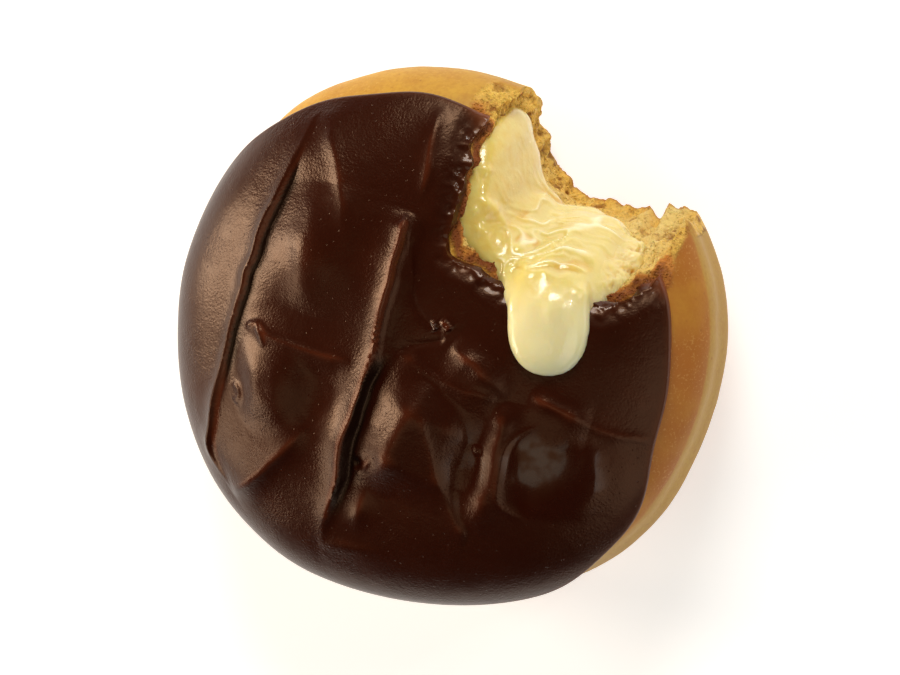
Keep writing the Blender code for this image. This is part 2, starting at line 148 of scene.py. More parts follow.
class Grain:
    """Repeatable noise on a lattice of points in space.

    Each row of crumb_pores holds a lattice spacing and a pit size in millimetres, a seed and a
    share of the depth.
    """

    layer_sum = 1.6
    pore_shift = 0.42
    pore_sizes = (0.55, 0.45)
    least_pore = 0.05
    bend_cell, bend_size, bend_seeds = 0.9 * MM, 0.35 * MM, (91, 92, 93)
    crumb_pores = ((2.3, 1.5, 21, 0.6), (1.2, 0.75, 25, 0.45), (0.65, 0.4, 29, 0.25))
    deepest_crumb = 1.2

    @staticmethod
    def _draw(corner: Numbers, seed: int) -> Numbers:
        """A random number from -1 to 1 for each lattice corner, by mixing its whole numbers.

        Args:
            corner: Whole lattice coordinates, three in the last axis.
            seed: Picks one pattern out of many.

        Returns:
            One number for each corner.
        """
        x, y, z = (corner[..., k] for k in range(3))
        mixed = (x * 73856093) ^ (y * 19349663) ^ (z * 83492791) ^ (seed * 2654435761)
        mixed = ((mixed & 0xFFFFFFFF) ^ ((mixed & 0xFFFFFFFF) >> 15)) * 2246822519 & 0xFFFFFFFF
        mixed = (mixed ^ (mixed >> 13)) * 3266489917 & 0xFFFFFFFF
        return (mixed ^ (mixed >> 16)) / float(0x7FFFFFFF) - 1.0

    @classmethod
    def soft(cls, points: Points, cell: float, seed: int) -> Numbers:
        """Smooth noise: the eight numbers at a lattice cell's corners, blended by 3s² - 2s³.

        Args:
            points: Places in space.
            cell: The lattice's spacing.
            seed: Picks one pattern out of many.

        Returns:
            A number from -1 to 1 for each point.
        """
        spot = points / cell
        corner = np.floor(spot)
        part = spot - corner
        part = part * part * (3.0 - 2.0 * part)
        corner = corner.astype(np.int64)
        total = np.zeros(points.shape[:-1])
        for step in np.ndindex(2, 2, 2):
            weight = np.prod(np.where(np.array(step) == 1, part, 1.0 - part), axis=-1)
            total += weight * cls._draw(corner + np.array(step), seed)
        return total

    @classmethod
    def fractal(cls, points: Points, cell: float, layers: int, seed: int) -> Numbers:
        """Layers of smooth noise, each half as wide and half as strong as the last.

        Args:
            points: Places in space.
            cell: The widest layer's lattice spacing.
            layers: How many layers are summed.
            seed: Picks one pattern out of many.

        Returns:
            A number of about -1 to 1 for each point.
        """
        total = sum(cls.soft(points, cell / 2**k, seed + k) / 2**k for k in range(layers))
        return total / cls.layer_sum

    @classmethod
    def pores(cls, points: Points, cell: float, size: float, seed: int) -> Numbers:
        """Round pits: one ball of random size near each lattice corner, 1 - (distance / radius)².

        Args:
            points: Places in space.
            cell: The lattice's spacing, so one pit for each cell.
            size: The largest pit's radius.
            seed: Picks one pattern out of many.

        Returns:
            0 outside every pit and up to 1 in a pit's middle.
        """
        corner = np.floor(points / cell).astype(np.int64)
        depth = np.zeros(points.shape[:-1])
        for step in np.ndindex(3, 3, 3):
            near = corner + np.array(step) - 1
            shift = np.stack([cls._draw(near, seed + k) for k in range(3)], axis=-1) * cls.pore_shift
            radius = size * (cls.pore_sizes[0] + cls.pore_sizes[1] * cls._draw(near, seed + 3))
            radius = np.maximum(radius, cls.least_pore * size)
            gap = np.linalg.norm(points - (near + 0.5 + shift) * cell, axis=-1)
            depth = np.maximum(depth, 1.0 - (gap / radius) ** 2)
        return np.clip(depth, 0.0, 1.0)

    @classmethod
    def crumb(cls, points: Points) -> Numbers:
        """The hollows of torn crumb: pits of three sizes, their outlines bent by other noise.

        Args:
            points: Places in space.

        Returns:
            0 on the webs between the hollows and up to about 1 in the deepest.
        """
        bend = [cls.soft(points, cls.bend_cell, seed) for seed in cls.bend_seeds]
        bent = points + cls.bend_size * np.stack(bend, axis=-1)
        depth = sum(
            share * cls.pores(bent, cell * MM, size * MM, seed)
            for cell, size, seed, share in cls.crumb_pores
        )
        return np.clip(depth, 0.0, cls.deepest_crumb)


class Mesher:
    """Turns arrays of points into closed Blender meshes."""

    @staticmethod
    def lathe_faces(rings: int, columns: int) -> Numbers:
        """Quads between neighbouring rings of a grid that closes round on itself.

        Args:
            rings: The number of rings.
            columns: The number of points in each ring.

        Returns:
            Four point numbers for each quad.
        """
        ring = np.arange(rings - 1)[:, None] * columns
        here = np.arange(columns)[None, :]
        there = (here + 1) % columns
        corners = [ring + here, ring + there, ring + columns + there, ring + columns + here]
        return np.stack(corners, axis=-1).reshape(-1, 4)

    @classmethod
    def closed_grid(cls, name: str, grid: Points) -> bpy.types.Object:
        """A closed skin from rings of points, with a fan of triangles over each end.

        Args:
            name: The object's name.
            grid: Points as ring, column and coordinate.

        Returns:
            The object, with its faces turned outwards.
        """
        rings, columns = grid.shape[:2]
        quads = cls.lathe_faces(rings, columns)
        count = rings * columns
        here = np.arange(columns)
        there = (here + 1) % columns
        top = np.stack([np.full(columns, count), there, here], axis=-1)
        last = (rings - 1) * columns
        bottom = np.stack([np.full(columns, count + 1), last + here, last + there], axis=-1)
        ends = np.stack([grid[0].mean(axis=0), grid[-1].mean(axis=0)])
        points = np.concatenate([grid.reshape(-1, 3), ends])
        faces = [*quads.tolist(), *top.tolist(), *bottom.tolist()]
        return cls.from_arrays(name, points, faces)

    @staticmethod
    def from_arrays(name: str, points: Points, faces: Sequence[Sequence[int]]) -> bpy.types.Object:
        """An object from points and faces, its faces turned outwards.

        Args:
            name: The object's name.
            points: The vertices.
            faces: The point numbers of each face.

        Returns:
            The object, linked to the scene.
        """
        mesh = bpy.data.meshes.new(name)
        mesh.from_pydata(points, [], faces)
        shell = bmesh.new()
        shell.from_mesh(mesh)
        bmesh.ops.recalc_face_normals(shell, faces=shell.faces)
        shell.to_mesh(mesh)
        shell.free()
        mesh.update()
        return in_scene(name, mesh)

    @staticmethod
    def read(items: Sequence[object], name: str, width: int, kind: type = float) -> Numbers:
        """One property of all a mesh's vertices, edges or corners.

        Args:
            items: The mesh's vertices, edges or loops.
            name: The property's name.
            width: How many numbers it has for each item.
            kind: The type of the numbers.

        Returns:
            One row for each item.
        """
        flat = np.empty(len(items) * width, dtype=kind)
        items.foreach_get(name, flat)
        return flat.reshape(-1, width)

    @classmethod
    def places(cls, obj: bpy.types.Object) -> Points:
        """The object's vertices as an array."""
        return cls.read(obj.data.vertices, "co", 3)

    @classmethod
    def normals(cls, obj: bpy.types.Object) -> Points:
        """The object's vertex normals as an array."""
        return cls.read(obj.data.vertices, "normal", 3)

    @staticmethod
    def move(obj: bpy.types.Object, points: Points) -> None:
        """Puts the object's vertices at new places."""
        obj.data.vertices.foreach_set("co", points.ravel())
        obj.data.update()

    @staticmethod
    def mark(obj: bpy.types.Object, name: str, values: Numbers) -> None:
        """Stores one number for each vertex, which a material can read by name."""
        layer = obj.data.attributes.new(name, "FLOAT", "POINT")
        layer.data.foreach_set("value", np.ascontiguousarray(values, dtype=np.float32))

    @staticmethod
    def settle(obj: bpy.types.Object) -> None:
        """Makes the object's modifiers part of its mesh, which loses its materials.

        Args:
            obj: The object.
        """
        graph = bpy.context.evaluated_depsgraph_get()
        mesh = bpy.data.meshes.new_from_object(obj.evaluated_get(graph))
        obj.modifiers.clear()
        mesh.materials.clear()
        obj.data = mesh

    @classmethod
    def cut(cls, obj: bpy.types.Object, cutter: bpy.types.Object) -> None:
        """Takes the cutter's space out of the object, and removes the cutter.

        Args:
            obj: The closed object that is cut.
            cutter: The closed object that cuts it.
        """
        modifier = obj.modifiers.new("cut", "BOOLEAN")
        modifier.operation = "DIFFERENCE"
        modifier.object = cutter
        modifier.solver = "MANIFOLD"
        cls.settle(obj)
        bpy.data.objects.remove(cutter)
        cls.clean(obj)

    @classmethod
    def bodies(cls, obj: bpy.types.Object) -> Numbers:
        """The body that each vertex belongs to, as the lowest vertex number in it.

        Each edge gives both its ends the lower of their two numbers, and each vertex then takes
        the number of its number, until nothing changes.

        Args:
            obj: The object.

        Returns:
            One number for each vertex.
        """
        first, second = cls.read(obj.data.edges, "vertices", 2, np.int32).T
        label = np.arange(len(obj.data.vertices))
        while True:
            fresh = label.copy()
            lower = np.minimum(label[first], label[second])
            np.minimum.at(fresh, label[first], lower)
            np.minimum.at(fresh, label[second], lower)
            fresh = fresh[fresh]
            if np.array_equal(fresh, label):
                return label
            label = fresh

    @classmethod
    def flaps(cls, obj: bpy.types.Object) -> Numbers:
        """Which triangles lie back to back with another one on the same three vertices.

        Args:
            obj: The object, made of triangles only.

        Returns:
            True or false for each triangle.
        """
        corners = cls.read(obj.data.loops, "vertex_index", 1, np.int32)
        corners = np.sort(corners.reshape(-1, 3), axis=1)
        _, which, times = np.unique(corners, axis=0, return_inverse=True, return_counts=True)
        return times[which.ravel()] > 1

    @classmethod
    def clean(cls, obj: bpy.types.Object) -> None:
        """Merges points that nearly touch, and keeps the largest body without flaps.

        Args:
            obj: The object, which is turned into triangles.
        """
        shell = bmesh.new()
        shell.from_mesh(obj.data)
        bmesh.ops.remove_doubles(shell, verts=shell.verts, dist=MERGE_DISTANCE)
        bmesh.ops.dissolve_degenerate(shell, edges=shell.edges, dist=MERGE_DISTANCE)
        bmesh.ops.triangulate(shell, faces=shell.faces)
        shell.to_mesh(obj.data)
        loose = list(compress(shell.faces, cls.flaps(obj)))
        bmesh.ops.delete(shell, geom=loose, context="FACES")
        shell.to_mesh(obj.data)
        label = cls.bodies(obj)
        stray = list(compress(shell.verts, label != np.bincount(label).argmax()))
        bmesh.ops.delete(shell, geom=stray, context="VERTS")
        shell.to_mesh(obj.data)
        shell.free()
        obj.data.update()

    @staticmethod
    def smooth(obj: bpy.types.Object, degrees: float) -> None:
        """Shades the object smooth, but for edges sharper than an angle."""
        obj.data.shade_smooth()
        obj.data.set_sharp_from_angle(angle=np.radians(degrees))


@dataclass(frozen=True)
class Value:
    """A number in a material, which + - and * turn into Math nodes."""

    tree: bpy.types.NodeTree
    socket: bpy.types.NodeSocket

    def _math(self, operation: str, first: "Value | float", second: "Value | float") -> "Value":
        """One Math node.

        Args:
            operation: The node's operation.
            first: Its first number.
            second: Its second number.

        Returns:
            The node's result.
        """
        node = self.tree.nodes.new("ShaderNodeMath")
        node.operation = operation
        for slot, value in zip(node.inputs, (first, second)):
            if isinstance(value, Value):
                self.tree.links.new(value.socket, slot)
            else:
                slot.default_value = value
        return Value(self.tree, node.outputs[0])

    def __add__(self, other: "Value | float") -> "Value":
        """This plus other."""
        return self._math("ADD", self, other)

    def __radd__(self, other: float) -> "Value":
        """Other plus this."""
        return self._math("ADD", other, self)

    def __sub__(self, other: "Value | float") -> "Value":
        """This minus other."""
        return self._math("SUBTRACT", self, other)

    def __rsub__(self, other: float) -> "Value":
        """Other minus this."""
        return self._math("SUBTRACT", other, self)

    def __mul__(self, other: "Value | float") -> "Value":
        """This times other."""
        return self._math("MULTIPLY", self, other)

    def __rmul__(self, other: float) -> "Value":
        """Other times this."""
        return self._math("MULTIPLY", other, self)


class Paint:
    """A Principled material under construction."""

    def __init__(self, name: str) -> None:
        """Starts a material.

        Args:
            name: The material's name.
        """
        self.material = bpy.data.materials.new(name)
        self.material.use_nodes = True
        self.tree = self.material.node_tree
        self.shader = self.tree.nodes["Principled BSDF"]
        self.where = self.node("ShaderNodeTexCoord", {}, {}).outputs["Object"]

    def node(
        self, kind: str, settings: dict[str, object], inputs: dict[str | int, object]
    ) -> bpy.types.Node:
        """Any node.

        Args:
            kind: The node's type.
            settings: Its properties, which are set first.
            inputs: A number, colour, Value or socket for each input named or numbered.

        Returns:
            The node.
        """
        made = self.tree.nodes.new(kind)
        for name, setting in settings.items():
            setattr(made, name, setting)
        for name, value in inputs.items():
            self.feed(made.inputs[name], value)
        return made

    def feed(self, socket: bpy.types.NodeSocket, value: object) -> None:
        """Links a Value or socket to a socket, or sets its number or colour.

        Args:
            socket: The socket that is fed.
            value: What feeds it.
        """
        if isinstance(value, Value):
            self.tree.links.new(value.socket, socket)
        elif isinstance(value, bpy.types.NodeSocket):
            self.tree.links.new(value, socket)
        elif isinstance(value, tuple) and socket.type == "RGBA":
            socket.default_value = (*value, 1.0)
        else:
            socket.default_value = value

    def mark(self, name: str) -> Value:
        """The number stored on the mesh's vertices under a name."""
        node = self.node("ShaderNodeAttribute", {"attribute_name": name}, {})
        return Value(self.tree, node.outputs["Fac"])

    def noise(self, size: float, detail: float = 2.0) -> Value:
        """Cloudy noise from 0 to 1.

        Args:
            size: The width of its widest blotches.
            detail: How many finer layers it has.

        Returns:
            The noise.
        """
        inputs = {"Vector": self.where, "Scale": 1.0 / size, "Detail": detail}
        return Value(self.tree, self.node("ShaderNodeTexNoise", {}, inputs).outputs["Fac"])

    def cells(self, size: float) -> Value:
        """Distance to the nearest of many scattered points, 0 at a point.

        Args:
            size: How far apart the points lie.

        Returns:
            The distance, as a share of size.
        """
        inputs = {"Vector": self.where, "Scale": 1.0 / size}
        node = self.node("ShaderNodeTexVoronoi", {"feature": "F1"}, inputs)
        return Value(self.tree, node.outputs["Distance"])

    def step(self, value: Value, low: float, high: float) -> Value:
        """A smooth step of a value from 0 at low to 1 at high.

        Args:
            value: The value to judge.
            low: Where the step starts.
            high: Where the step ends.

        Returns:
            The step, from 0 to 1.
        """
        settings = {"interpolation_type": "SMOOTHSTEP"}
        inputs = {"Value": value, "From Min": low, "From Max": high}
        return Value(self.tree, self.node("ShaderNodeMapRange", settings, inputs).outputs[0])

    def blend(self, share: Value, first: object, second: object) -> bpy.types.NodeSocket:
        """A colour between two colours.

        Args:
            share: 0 for the first and 1 for the second.
            first: A colour or a colour socket.
            second: A colour or a colour socket.

        Returns:
            The colour.
        """
        inputs = {0: share, 6: first, 7: second}
        return self.node("ShaderNodeMix", {"data_type": "RGBA"}, inputs).outputs[2]

    def relief(self, height: Value, depth: float) -> bpy.types.NodeSocket:
        """A bumped normal: height 1 stands depth above height 0.

        Args:
            height: The relief's height.
            depth: Its depth in metres.

        Returns:
            The normal.
        """
        inputs = {"Height": height, "Distance": depth, "Strength": 1.0}
        return self.node("ShaderNodeBump", {}, inputs).outputs[0]

    def finish(self, **sockets: object) -> bpy.types.Material:
        """Feeds the shader's sockets and hands the material over.

        Args:
            **sockets: A value for each socket, its name in lower case with underscores.

        Returns:
            The material.
        """
        names = {socket.name.lower().replace(" ", "_"): socket for socket in self.shader.inputs}
        for name, value in sockets.items():
            self.feed(names[name], value)
        return self.material


@dataclass(frozen=True)
class DoughFinish:
    """Fried crust with a pale waist, and the torn crumb inside it.

    The glow is the light under the surface: its weight, its reach by colour and its scale.
    """

    golden: Colour = srgb(222, 178, 62)
    brown: Colour = srgb(166, 98, 24)
    pale: Colour = srgb(176, 136, 46)
    freckle: Colour = srgb(142, 84, 30)
    fleck: Colour = srgb(240, 204, 122)
    crumb: Colour = srgb(230, 182, 80)
    # Darker crumb, for random tone and for painted shade in the crumb's hollows.
    crumb_tone_and_pit_shade: Colour = srgb(154, 98, 32)
    soaked: Colour = srgb(234, 202, 120)
    stained: Colour = srgb(130, 66, 18)
    stain_light: Colour = srgb(196, 124, 46)
    rough: float = 0.52
    relief: float = 0.16 * MM
    shine: float = 0.3
    glow: tuple[float, Colour, float] = (0.12, (0.9, 0.4, 0.15), 1.6 * MM)

    def material(self) -> bpy.types.Material:
        """Crust by its band and browning, with painted shade browning its east side; crumb darker in its
        hollows as painted shade, and by its soaking and stain.

        Returns:
            The material, which reads the marks wall, band, brown, soak, stain and pit.
        """
        paint = Paint("fried dough")
        wall, band, soak = paint.mark("wall"), paint.mark("band"), paint.mark("soak")
        cloud = paint.noise(7 * MM, 4.0)
        fine = paint.noise(0.7 * MM, 3.0)
        # The brown mark is browning, and on the east side it is also painted shade.
        tan = paint.step(cloud * 0.6 + paint.mark("brown"), 0.2, 1.1)
        crust = paint.blend(tan, self.golden, self.brown)
        crust = paint.blend(band * (0.75 + 0.25 * fine), crust, self.pale)
        dots = 1.0 - paint.step(paint.cells(1.5 * MM), 0.05, 0.22)
        crust = paint.blend(dots * paint.step(fine, 0.45, 0.7) * 0.55, crust, self.freckle)
        crust = paint.blend(paint.step(fine, 0.35, 0.75) * 0.3, crust, self.brown)
        flecks = paint.step(paint.noise(0.4 * MM, 2.0), 0.55, 0.7) * paint.step(cloud, 0.35, 0.6)
        crust = paint.blend(flecks * (0.16 - 0.1 * band), crust, self.fleck)
        # Painted shade: the pit mark darkens the crumb in its hollows; the noise adds random tone.
        tone = paint.step(paint.mark("pit") + (fine - 0.5) * 0.9 + (cloud - 0.5) * 0.8, 0.05, 0.75)
        crumb = paint.blend(tone, self.crumb, self.crumb_tone_and_pit_shade)
        crumb = paint.blend(soak * (1.0 - tone * 0.7), crumb, self.soaked)
        stain = paint.step(paint.mark("stain") + (fine - 0.5) * 0.5 + (cloud - 0.5) * 0.4, 0.15, 0.5)
        deep = paint.step(paint.mark("stain") + (fine - 0.5) * 0.6, 0.45, 0.95)
        crumb = paint.blend(stain, crumb, paint.blend(deep, self.stain_light, self.stained))
        skin = paint.noise(0.45 * MM, 2.0) * 0.5 + paint.noise(2.2 * MM, 2.0)
        pores = paint.step(paint.cells(0.5 * MM), 0.1, 0.5) + paint.noise(0.25 * MM, 2.0)
        shiny = paint.step(paint.noise(1.1 * MM, 2.0), 0.5, 0.65)
        return paint.finish(
            base_color=paint.blend(wall, crust, crumb),
            roughness=self.rough + wall * 0.2 - wall * shiny * 0.35,
            normal=paint.relief(skin * (1.0 - wall) * 0.35 + pores * wall * 1.4, self.relief),
            specular_ior_level=self.shine,
            subsurface_weight=self.glow[0],
            subsurface_radius=self.glow[1],
            subsurface_scale=self.glow[2],
        )


@dataclass(frozen=True)
class CustardFinish:
    """Glossy custard with pale streaks and yellow, clearer patches, its glow as in DoughFinish.

    The coat is the clear film on top: its weight and its roughness.
    """

    body: Colour = srgb(229, 207, 122)
    # The drip's paler colour is painted light, standing in for light the lamps do not give its south end.
    drip: Colour = srgb(252, 242, 200)
    streak: Colour = srgb(248, 234, 188)
    clear: Colour = srgb(222, 180, 72)
    soaked: Colour = srgb(238, 212, 138)
    crumb: Colour = srgb(204, 156, 66)
    rough: float = 0.2
    relief: float = 0.1 * MM
    glow: tuple[float, Colour, float] = (0.7, (1.0, 0.8, 0.4), 4.0 * MM)
    coat: tuple[float, float] = (0.4, 0.05)

    def material(self) -> bpy.types.Material:
        """Streaks on the ridges of the flow, clear patches in its hollows, and a paler drip as painted
        light.

        Returns:
            The material, which reads the marks flow, clear, drip, lumpy and pit.
        """
        paint = Paint("custard")
        flow = paint.step(paint.mark("flow") + paint.noise(1.2 * MM, 2.0) * 0.25, 0.55, 1.1)
        clear = paint.step(paint.mark("clear") + paint.noise(1.6 * MM, 3.0) * 0.4, 0.45, 0.95)
        # Painted light: the drip mark pales the drip, more towards its south end.
        tone = paint.blend(paint.mark("drip"), self.body, self.drip)
        tone = paint.blend(clear, tone, self.clear)
        lumpy = paint.mark("lumpy")
        pitted = paint.blend(paint.step(paint.mark("pit"), 0.25, 0.9), self.soaked, self.crumb)
        tone = paint.blend(lumpy, paint.blend(flow, tone, self.streak), pitted)
        bumps = paint.noise(1.3 * MM, 4.0) + paint.noise(0.5 * MM, 2.0) * lumpy
        return paint.finish(
            base_color=tone,
            roughness=self.rough + paint.noise(2.0 * MM, 2.0) * 0.1 + lumpy * 0.2,
            normal=paint.relief(bumps, self.relief),
            subsurface_weight=self.glow[0],
            subsurface_radius=self.glow[1],
            subsurface_scale=self.glow[2],
            coat_weight=self.coat[0],
            coat_roughness=self.coat[1],
        )


@dataclass(frozen=True)
class IcingFinish:
    """Dark chocolate icing, grainy on the folds and wet in the pool, its glow as in DoughFinish.

    The coat is the film on the wet places: its weight and its roughness.
    """

    dark: Colour = srgb(43, 11, 3)
    # The lighter colour, for random tone and for crests, where it is partly a painted highlight.
    warm_tone_and_crest_highlight: Colour = srgb(74, 29, 12)
    # The near-black colour of painted shade in the grooves and on the steep side of crests beside them.
    deep: Colour = srgb(22, 7, 3)
    thin: Colour = srgb(116, 56, 26)
    rough: float = 0.14
    relief: float = 0.075 * MM
    shine: float = 0.3
    shine_tint: Colour = (1.0, 0.6, 0.36)
    glow: tuple[float, Colour, float] = (0.05, (1.0, 0.3, 0.1), 0.8 * MM)
    coat: tuple[float, float] = (0.5, 0.06)

    def material(self) -> bpy.types.Material:
        """Warmer on crests (thinner there, and a painted highlight), painted shade in grooves, warmer
        where thin, smoother where wet.

        Returns:
            The material, which reads the marks crest, groove, wet, thin and rim.
        """
        paint = Paint("chocolate icing")
        cloud = paint.noise(9 * MM, 3.0)
        grain = paint.noise(0.36 * MM, 2.0)
        dull = 1.0 - paint.mark("wet")
        # Crests are made warmer, partly for the thinner chocolate there and partly as a painted
        # highlight.
        warmth_and_crest_highlight = paint.step(paint.mark("crest") + cloud * 0.7, 0.3, 1.2)
        tone = paint.blend(warmth_and_crest_highlight, self.dark, self.warm_tone_and_crest_highlight)
        # Painted shade: the groove mark darkens the grooves and the steep crest sides beside them.
        tone = paint.blend(paint.mark("groove"), tone, self.deep)
        tone = paint.blend(paint.mark("thin"), tone, self.thin)
        pits = 1.0 - paint.step(paint.cells(1.4 * MM), 0.03, 0.13)
        patchy = paint.step(paint.noise(6 * MM, 3.0), 0.35, 0.65)
        rough = grain * (0.3 + 0.7 * patchy) * dull
        height = rough - pits * dull * 0.6 + paint.noise(1.8 * MM, 2.0) * dull * 0.7
        film = paint.step(paint.noise(3.2 * MM, 2.0), 0.35, 0.6)
        return paint.finish(
            base_color=tone,
            roughness=self.rough + dull * (0.12 + 0.1 * grain) + paint.mark("rim") * 0.4,
            normal=paint.relief(height, self.relief),
            coat_weight=paint.mark("wet") * film * self.coat[0],
            coat_roughness=self.coat[1],
            specular_ior_level=self.shine,
            specular_tint=self.shine_tint,
            subsurface_weight=self.glow[0],
            subsurface_radius=self.glow[1],
            subsurface_scale=self.glow[2],
        )


@dataclass(frozen=True)
class Bun:
    """The whole dough: a round bun with a flat base and a slightly hollow waist."""

    size: float = 43.65 * MM
    plan_waves: tuple[Wave, ...] = (
        Wave(2, 0.8 * MM, 18.0),
        Wave(3, 0.5 * MM, -35.0),
        Wave(4, 0.5 * MM, 116.0),
        Wave(5, 0.35 * MM, 101.0),
    )
    plan_swells: tuple[Bump, ...] = (Bump(123.0, 13.0, 1.0 * MM),)
    waist: float = 16.0 * MM
    rise: float = 18.0 * MM
    rise_power: float = 2.5
    drop: float = 17.5 * MM
    drop_power: float = 2.6
    groove: float = 16.5 * MM
    groove_tilt: float = -3.0 * MM
    groove_depth: float = 1.1 * MM
    groove_half: float = 4.5 * MM
    tilt_step: float = 0.01
    top_limit: float = 0.98
    depth_shares: tuple[float, float] = (0.45, 0.55)
    base_depth: float = 0.2 * MM
    puff_cell: float = 9.0 * MM
    puff: float = 0.22 * MM
    finest: float = 45.0
    crowding: tuple[float, float] = (0.4, 0.6)
    rings: int = 190
    columns: int = 360

    def plan(self, angle: Numbers) -> Numbers:
        """From the middle to the widest line, seen from above."""
        return self.size + sum(part.at(angle) for part in (*self.plan_waves, *self.plan_swells))

    def section(self, angle: Numbers, tilt: Numbers) -> tuple[Numbers, Numbers]:
        """Radius and height of the skin: a squared-off oval less a soft groove round the waist.

        Args:
            angle: The way round the doughnut.
            tilt: A quarter turn on top, 0 at the waist and minus a quarter turn below.

        Returns:
            The radius and the height.
        """
        upper = tilt > 0.0
        power = np.where(upper, self.rise_power, self.drop_power)
        reach = np.where(upper, self.rise, self.drop)
        height = self.waist + np.sign(tilt) * reach * np.abs(np.sin(tilt)) ** (2.0 / power)
        radius = self.plan(angle) * np.abs(np.cos(tilt)) ** (2.0 / power)
        line = self.groove + self.groove_tilt * np.sin(angle)
        radius = radius - self.groove_depth * np.exp(-(((height - line) / self.groove_half) ** 2))
        return radius, height

    def skin(self, angle: Numbers, tilt: Numbers, lift: Numbers | float = 0.0) -> Points:
        """Points of the skin, moved out by lift along its normal.

        Args:
            angle: The way round the doughnut.
            tilt: The way up its section, as in section().
            lift: How far out from the skin.

        Returns:
            The points.
        """
        radius, height = self.section(angle, tilt)
        step = self.tilt_step
        middle = np.clip(tilt, -np.pi / 2 + 2 * step, np.pi / 2 - 2 * step)
        ahead, behind = self.section(angle, middle + step), self.section(angle, middle - step)
        out, up = ahead[1] - behind[1], behind[0] - ahead[0]
        size = np.hypot(out, up)
        radius = radius + lift * out / size
        height = np.maximum(height, 0.0) + lift * up / size
        return np.stack([radius * np.cos(angle), radius * np.sin(angle), height], axis=-1)

    def top(self, x: Numbers, y: Numbers) -> Numbers:
        """Height of the upper skin over points of the plan."""
        share = np.clip(np.hypot(x, y) / self.plan(np.arctan2(y, x)), 0.0, self.top_limit)
        return self.waist + self.rise * (1.0 - share**self.rise_power) ** (1.0 / self.rise_power)

    def buried(self, points: Points) -> Numbers:
        """How deep points lie under the skin, from the oval's own measure (r/R)^n + (h/H)^n.

        Args:
            points: Places in the dough.

        Returns:
            The depth, 0 on the skin.
        """
        x, y, z = points.T
        rise = z - self.waist
        power = np.where(rise > 0.0, self.rise_power, self.drop_power)
        reach = np.where(rise > 0.0, self.rise, self.drop)
        share = np.hypot(x, y) / self.plan(np.arctan2(y, x))
        oval = share**power + np.abs(rise / reach) ** power
        measure = self.size * (self.depth_shares[0] + self.depth_shares[1] * share)
        inside = (1.0 - oval ** (1.0 / power)) * measure
        return np.minimum(inside, np.maximum(z, 0.0) + self.base_depth)

    def solid(self, name: str, torn: Callable[[Points], Numbers]) -> bpy.types.Object:
        """The bun before the bite, as rings from the top down to the base.

        The columns crowd together where the crust is torn.

        Args:
            name: The object's name.
            torn: How deep the crust is torn away at points of the skin.

        Returns:
            The closed object.
        """
        fall = (np.arange(self.rings) + 0.5) / self.rings
        u = np.arange(self.columns) / self.columns * 2.0 - 1.0
        turn = np.radians(self.finest) + crowded(u, self.crowding)
        tilt, angle = np.meshgrid(np.pi * (0.5 - fall), turn, indexing="ij")
        grid = self.skin(angle, tilt)
        puff = Grain.fractal(grid, self.puff_cell, 3, 40) * self.puff
        weight = ease(0.5 * MM, 4.0 * MM, grid[..., 2])
        return Mesher.closed_grid(name, self.skin(angle, tilt, puff * weight - torn(grid)))


